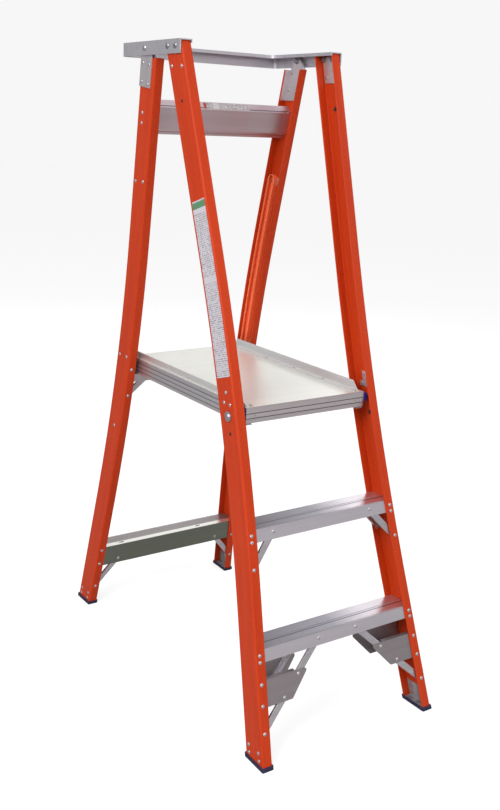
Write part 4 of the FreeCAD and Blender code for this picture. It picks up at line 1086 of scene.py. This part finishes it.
@dataclass
class Feet(SubAssembly):
    """One leaning pair's feet: ribbed rubber boots round the stiles' ends, held by metal brackets."""

    word: str
    stiles: LeaningFrame
    floor: float = 0.005
    rim_height: float = 0.011
    rim: float = 0.003
    gap: float = 0.0003
    corner: float = 0.0035
    corner_steps: int = 4
    rib: float = 0.0006
    tightest: float = 0.0008

    def nodes(self) -> Pieces:
        """The CAD pieces of this sub-assembly, by finish."""
        return {"foot bracket": [f"{self.word}_foot_brackets"], "navy rubber": pair(f"{self.word}_foot")}

    def build(self) -> int:
        """Build both boots.

        Returns:
            How many there are.
        """
        for side in Side:
            self.make(f"{self.word}_boot_{side.word}", self._boot(side), "navy rubber", "navy_rubber",
                      f"{self.word}_foot_{side.word}")
        return len(Side)

    def _outline(self, side: Side, z: float, grow: float) -> list[Vector]:
        """A rounded outline round the stile's end at height z, grown by a distance.

        Args:
            side: the side that it is on.
            z: the height.
            grow: how far it stands off the stile.

        Returns:
            The outline's corners.
        """
        outer, inner = -grow, self.stiles.flange + self.gap + grow
        near, far = -grow, self.stiles.depth + grow
        radius = max(self.corner + min(grow, 0.0), self.tightest)
        corners = ((outer, near, 1, 1), (inner, near, -1, 1), (inner, far, -1, -1), (outer, far, 1, -1))
        loop = []
        for (edge_x, edge_d, sign_x, sign_d), start in zip(corners, (180, 270, 0, 90)):
            centre = (edge_x + sign_x * radius, edge_d + sign_d * radius)
            for step in range(self.corner_steps + 1):
                angle = math.radians(start + 90 * step / self.corner_steps)
                inset, depth = centre[0] + radius * math.cos(angle), centre[1] + radius * math.sin(angle)
                loop.append(self.stiles.level(inset, depth, z, side))
        return loop

    def _boot(self, side: Side) -> Shell:
        """The boot's closed shell, as stacked outlines from the sole up and down into the pocket.

        Args:
            side: the side that it is on.

        Returns:
            The shell.
        """
        top, rim, waist = self.rim_height, self.rim, self.rim - self.rib
        sole = [(0.0, rim - 0.0012), (0.0010, rim)]
        ribs = [(0.0032, rim), (0.0036, waist), (0.0046, waist), (0.0050, rim),
                (0.0066, rim), (0.0070, waist), (0.0080, waist), (0.0084, rim)]
        lip = [(top - 0.0008, rim), (top, rim - 0.0009), (top, 0.0007), (top - 0.0006, 0.0)]
        stack = sole + ribs + lip + [(self.floor, 0.0)]
        return Shell.stacked([self._outline(side, z, grow) for z, grow in stack])


@dataclass(frozen=True)
class SoftBox:
    """One rectangular studio light."""

    name: str
    place: Point3
    size: Point2
    power: float


@dataclass
class Studio:
    """A pale floor, soft light and the camera."""

    camera_at: Point3 = (-1.5458, -2.2807, 1.5551)
    turn: float = 0.5982
    tip_down: float = 0.2753
    roll: float = 0.0413
    focal_length: float = 44.196
    sensor: float = 36.0
    floor_size: float = 60.0
    floor_colour: Colour = (0.46, 0.455, 0.45)
    floor_seen: Colour = (0.40, 0.40, 0.40)
    floor_glow: float = 0.70
    sky_low: float = 0.44
    sky_high: float = 0.62
    backdrop: float = 0.93
    lights_aim: Point3 = (0.0, 0.0, 0.9)
    lights: tuple[SoftBox, ...] = (
        SoftBox("key", (-4.3, -1.9, 3.6), (2.8, 2.8), 215.0),
        SoftBox("front", (-0.6, -4.6, 3.0), (2.6, 2.0), 62.0),
        SoftBox("top", (0.3, 0.4, 4.6), (4.6, 4.6), 42.0),
        SoftBox("right", (3.8, -1.6, 2.4), (2.0, 2.6), 20.0),
        SoftBox("back panel", (3.7, 3.2, 2.6), (1.2, 1.6), 7.0),
        SoftBox("low back panel", (2.4, 5.2, 2.25), (5.2, 0.7), 16.0),
    )

    def build(self) -> None:
        """Set up everything."""
        self._floor()
        self._sky()
        for box in self.lights:
            self._light(box)
        self._camera()

    def _floor(self) -> None:
        """The floor: one large pale sheet, which throws little light back up."""
        half = self.floor_size / 2
        mesh = bpy.data.meshes.new("studio_floor")
        corners = [(-half, -half, 0), (half, -half, 0), (half, half, 0), (-half, half, 0)]
        mesh.from_pydata(corners, [], [(0, 1, 2, 3)])
        floor = add_object("studio_floor", mesh)
        material = bpy.data.materials.new("studio floor")
        material.use_nodes = True
        tree = NodeTree(material.node_tree)
        shader = material.node_tree.nodes["Principled BSDF"]
        seen = tree.add("LightPath").outputs["Is Camera Ray"]
        colour = tree.mix(seen, self.floor_colour, self.floor_seen)
        tree.put(shader, "Base Color", colour)
        tree.put(shader, "Emission Color", seen)
        tree.put(shader, "Emission Strength", self.floor_glow)
        tree.put(shader, "Roughness", 0.9)
        tree.put(shader, "Specular IOR Level", 0.0)
        mesh.materials.append(material)

    def _sky(self) -> None:
        """A white backdrop, with softer light for everything that isn't seen directly."""
        world = bpy.data.worlds.new("studio sky")
        world.use_nodes = True
        tree = NodeTree(world.node_tree)
        ground = world.node_tree.nodes["Background"]
        seen = tree.add("LightPath").outputs["Is Camera Ray"]
        place = tree.add("TexCoord").outputs["Generated"]
        height = tree.add("SeparateXYZ", {0: place}).outputs[2]
        level = tree.remap(height, 0.0, 1.0, self.sky_low, self.sky_high)
        shares = {0: seen, 2: level, 3: self.backdrop}
        strength = tree.add("Mix", shares, data_type="FLOAT").outputs[0]
        tree.put(ground, "Strength", strength)
        tree.put(ground, "Color", (1.0, 1.0, 1.0, 1.0))
        bpy.context.scene.world = world

    def _light(self, box: SoftBox) -> None:
        """One softbox, aimed at the middle of the ladder.

        Args:
            box: the light's name, place, size and power.
        """
        data = bpy.data.lights.new(box.name, "AREA")
        data.shape = "RECTANGLE"
        data.size, data.size_y = box.size
        data.energy = box.power
        lamp = add_object(box.name, data)
        lamp.location = box.place
        aim = Vector(self.lights_aim) - Vector(box.place)
        lamp.rotation_euler = aim.to_track_quat("-Z", "Y").to_euler()
        lamp.visible_camera = False

    def _camera(self) -> None:
        """A camera in front of the ladder, to its left, at eye height."""
        forward = Vector((math.sin(self.turn) * math.cos(self.tip_down),
                          math.cos(self.turn) * math.cos(self.tip_down), -math.sin(self.tip_down)))
        level = Vector((math.cos(self.turn), -math.sin(self.turn), 0))
        upright = level.cross(forward)
        right = level * math.cos(self.roll) + upright * math.sin(self.roll)
        up = upright * math.cos(self.roll) - level * math.sin(self.roll)
        data = bpy.data.cameras.new("camera")
        data.lens = self.focal_length
        data.sensor_width = self.sensor
        camera = add_object("camera", data)
        columns = Matrix((right, up, -forward)).transposed().to_4x4()
        camera.matrix_world = Matrix.Translation(self.camera_at) @ columns
        bpy.context.scene.camera = camera


def set_view_transform() -> None:
    """Plain display colours, so that finishes read as they are given."""
    bpy.context.scene.view_settings.view_transform = "Standard"


def main() -> None:
    """Build the scene in order."""
    logging.basicConfig(level=logging.INFO)
    finishes = Finishes()
    parts = [
        FrontStiles(finishes, "front_frame"),
        GuardRail(finishes, "front_frame"),
        Treads(finishes, "front_frame"),
        Feet(finishes, "front_frame", "front", FRONT),
        RearStiles(finishes, "rear_frame"),
        RearBars(finishes, "rear_frame"),
        Feet(finishes, "rear_frame", "rear", REAR),
        Platform(finishes, "platform"),
    ]
    for part in parts:
        dressed, built = part.dress(), part.build()
        LOG.info("%s: %d CAD pieces dressed, %d pieces built", type(part).__name__, dressed, built)
    Studio().build()
    set_view_transform()


if __name__ == "__main__":
    main()
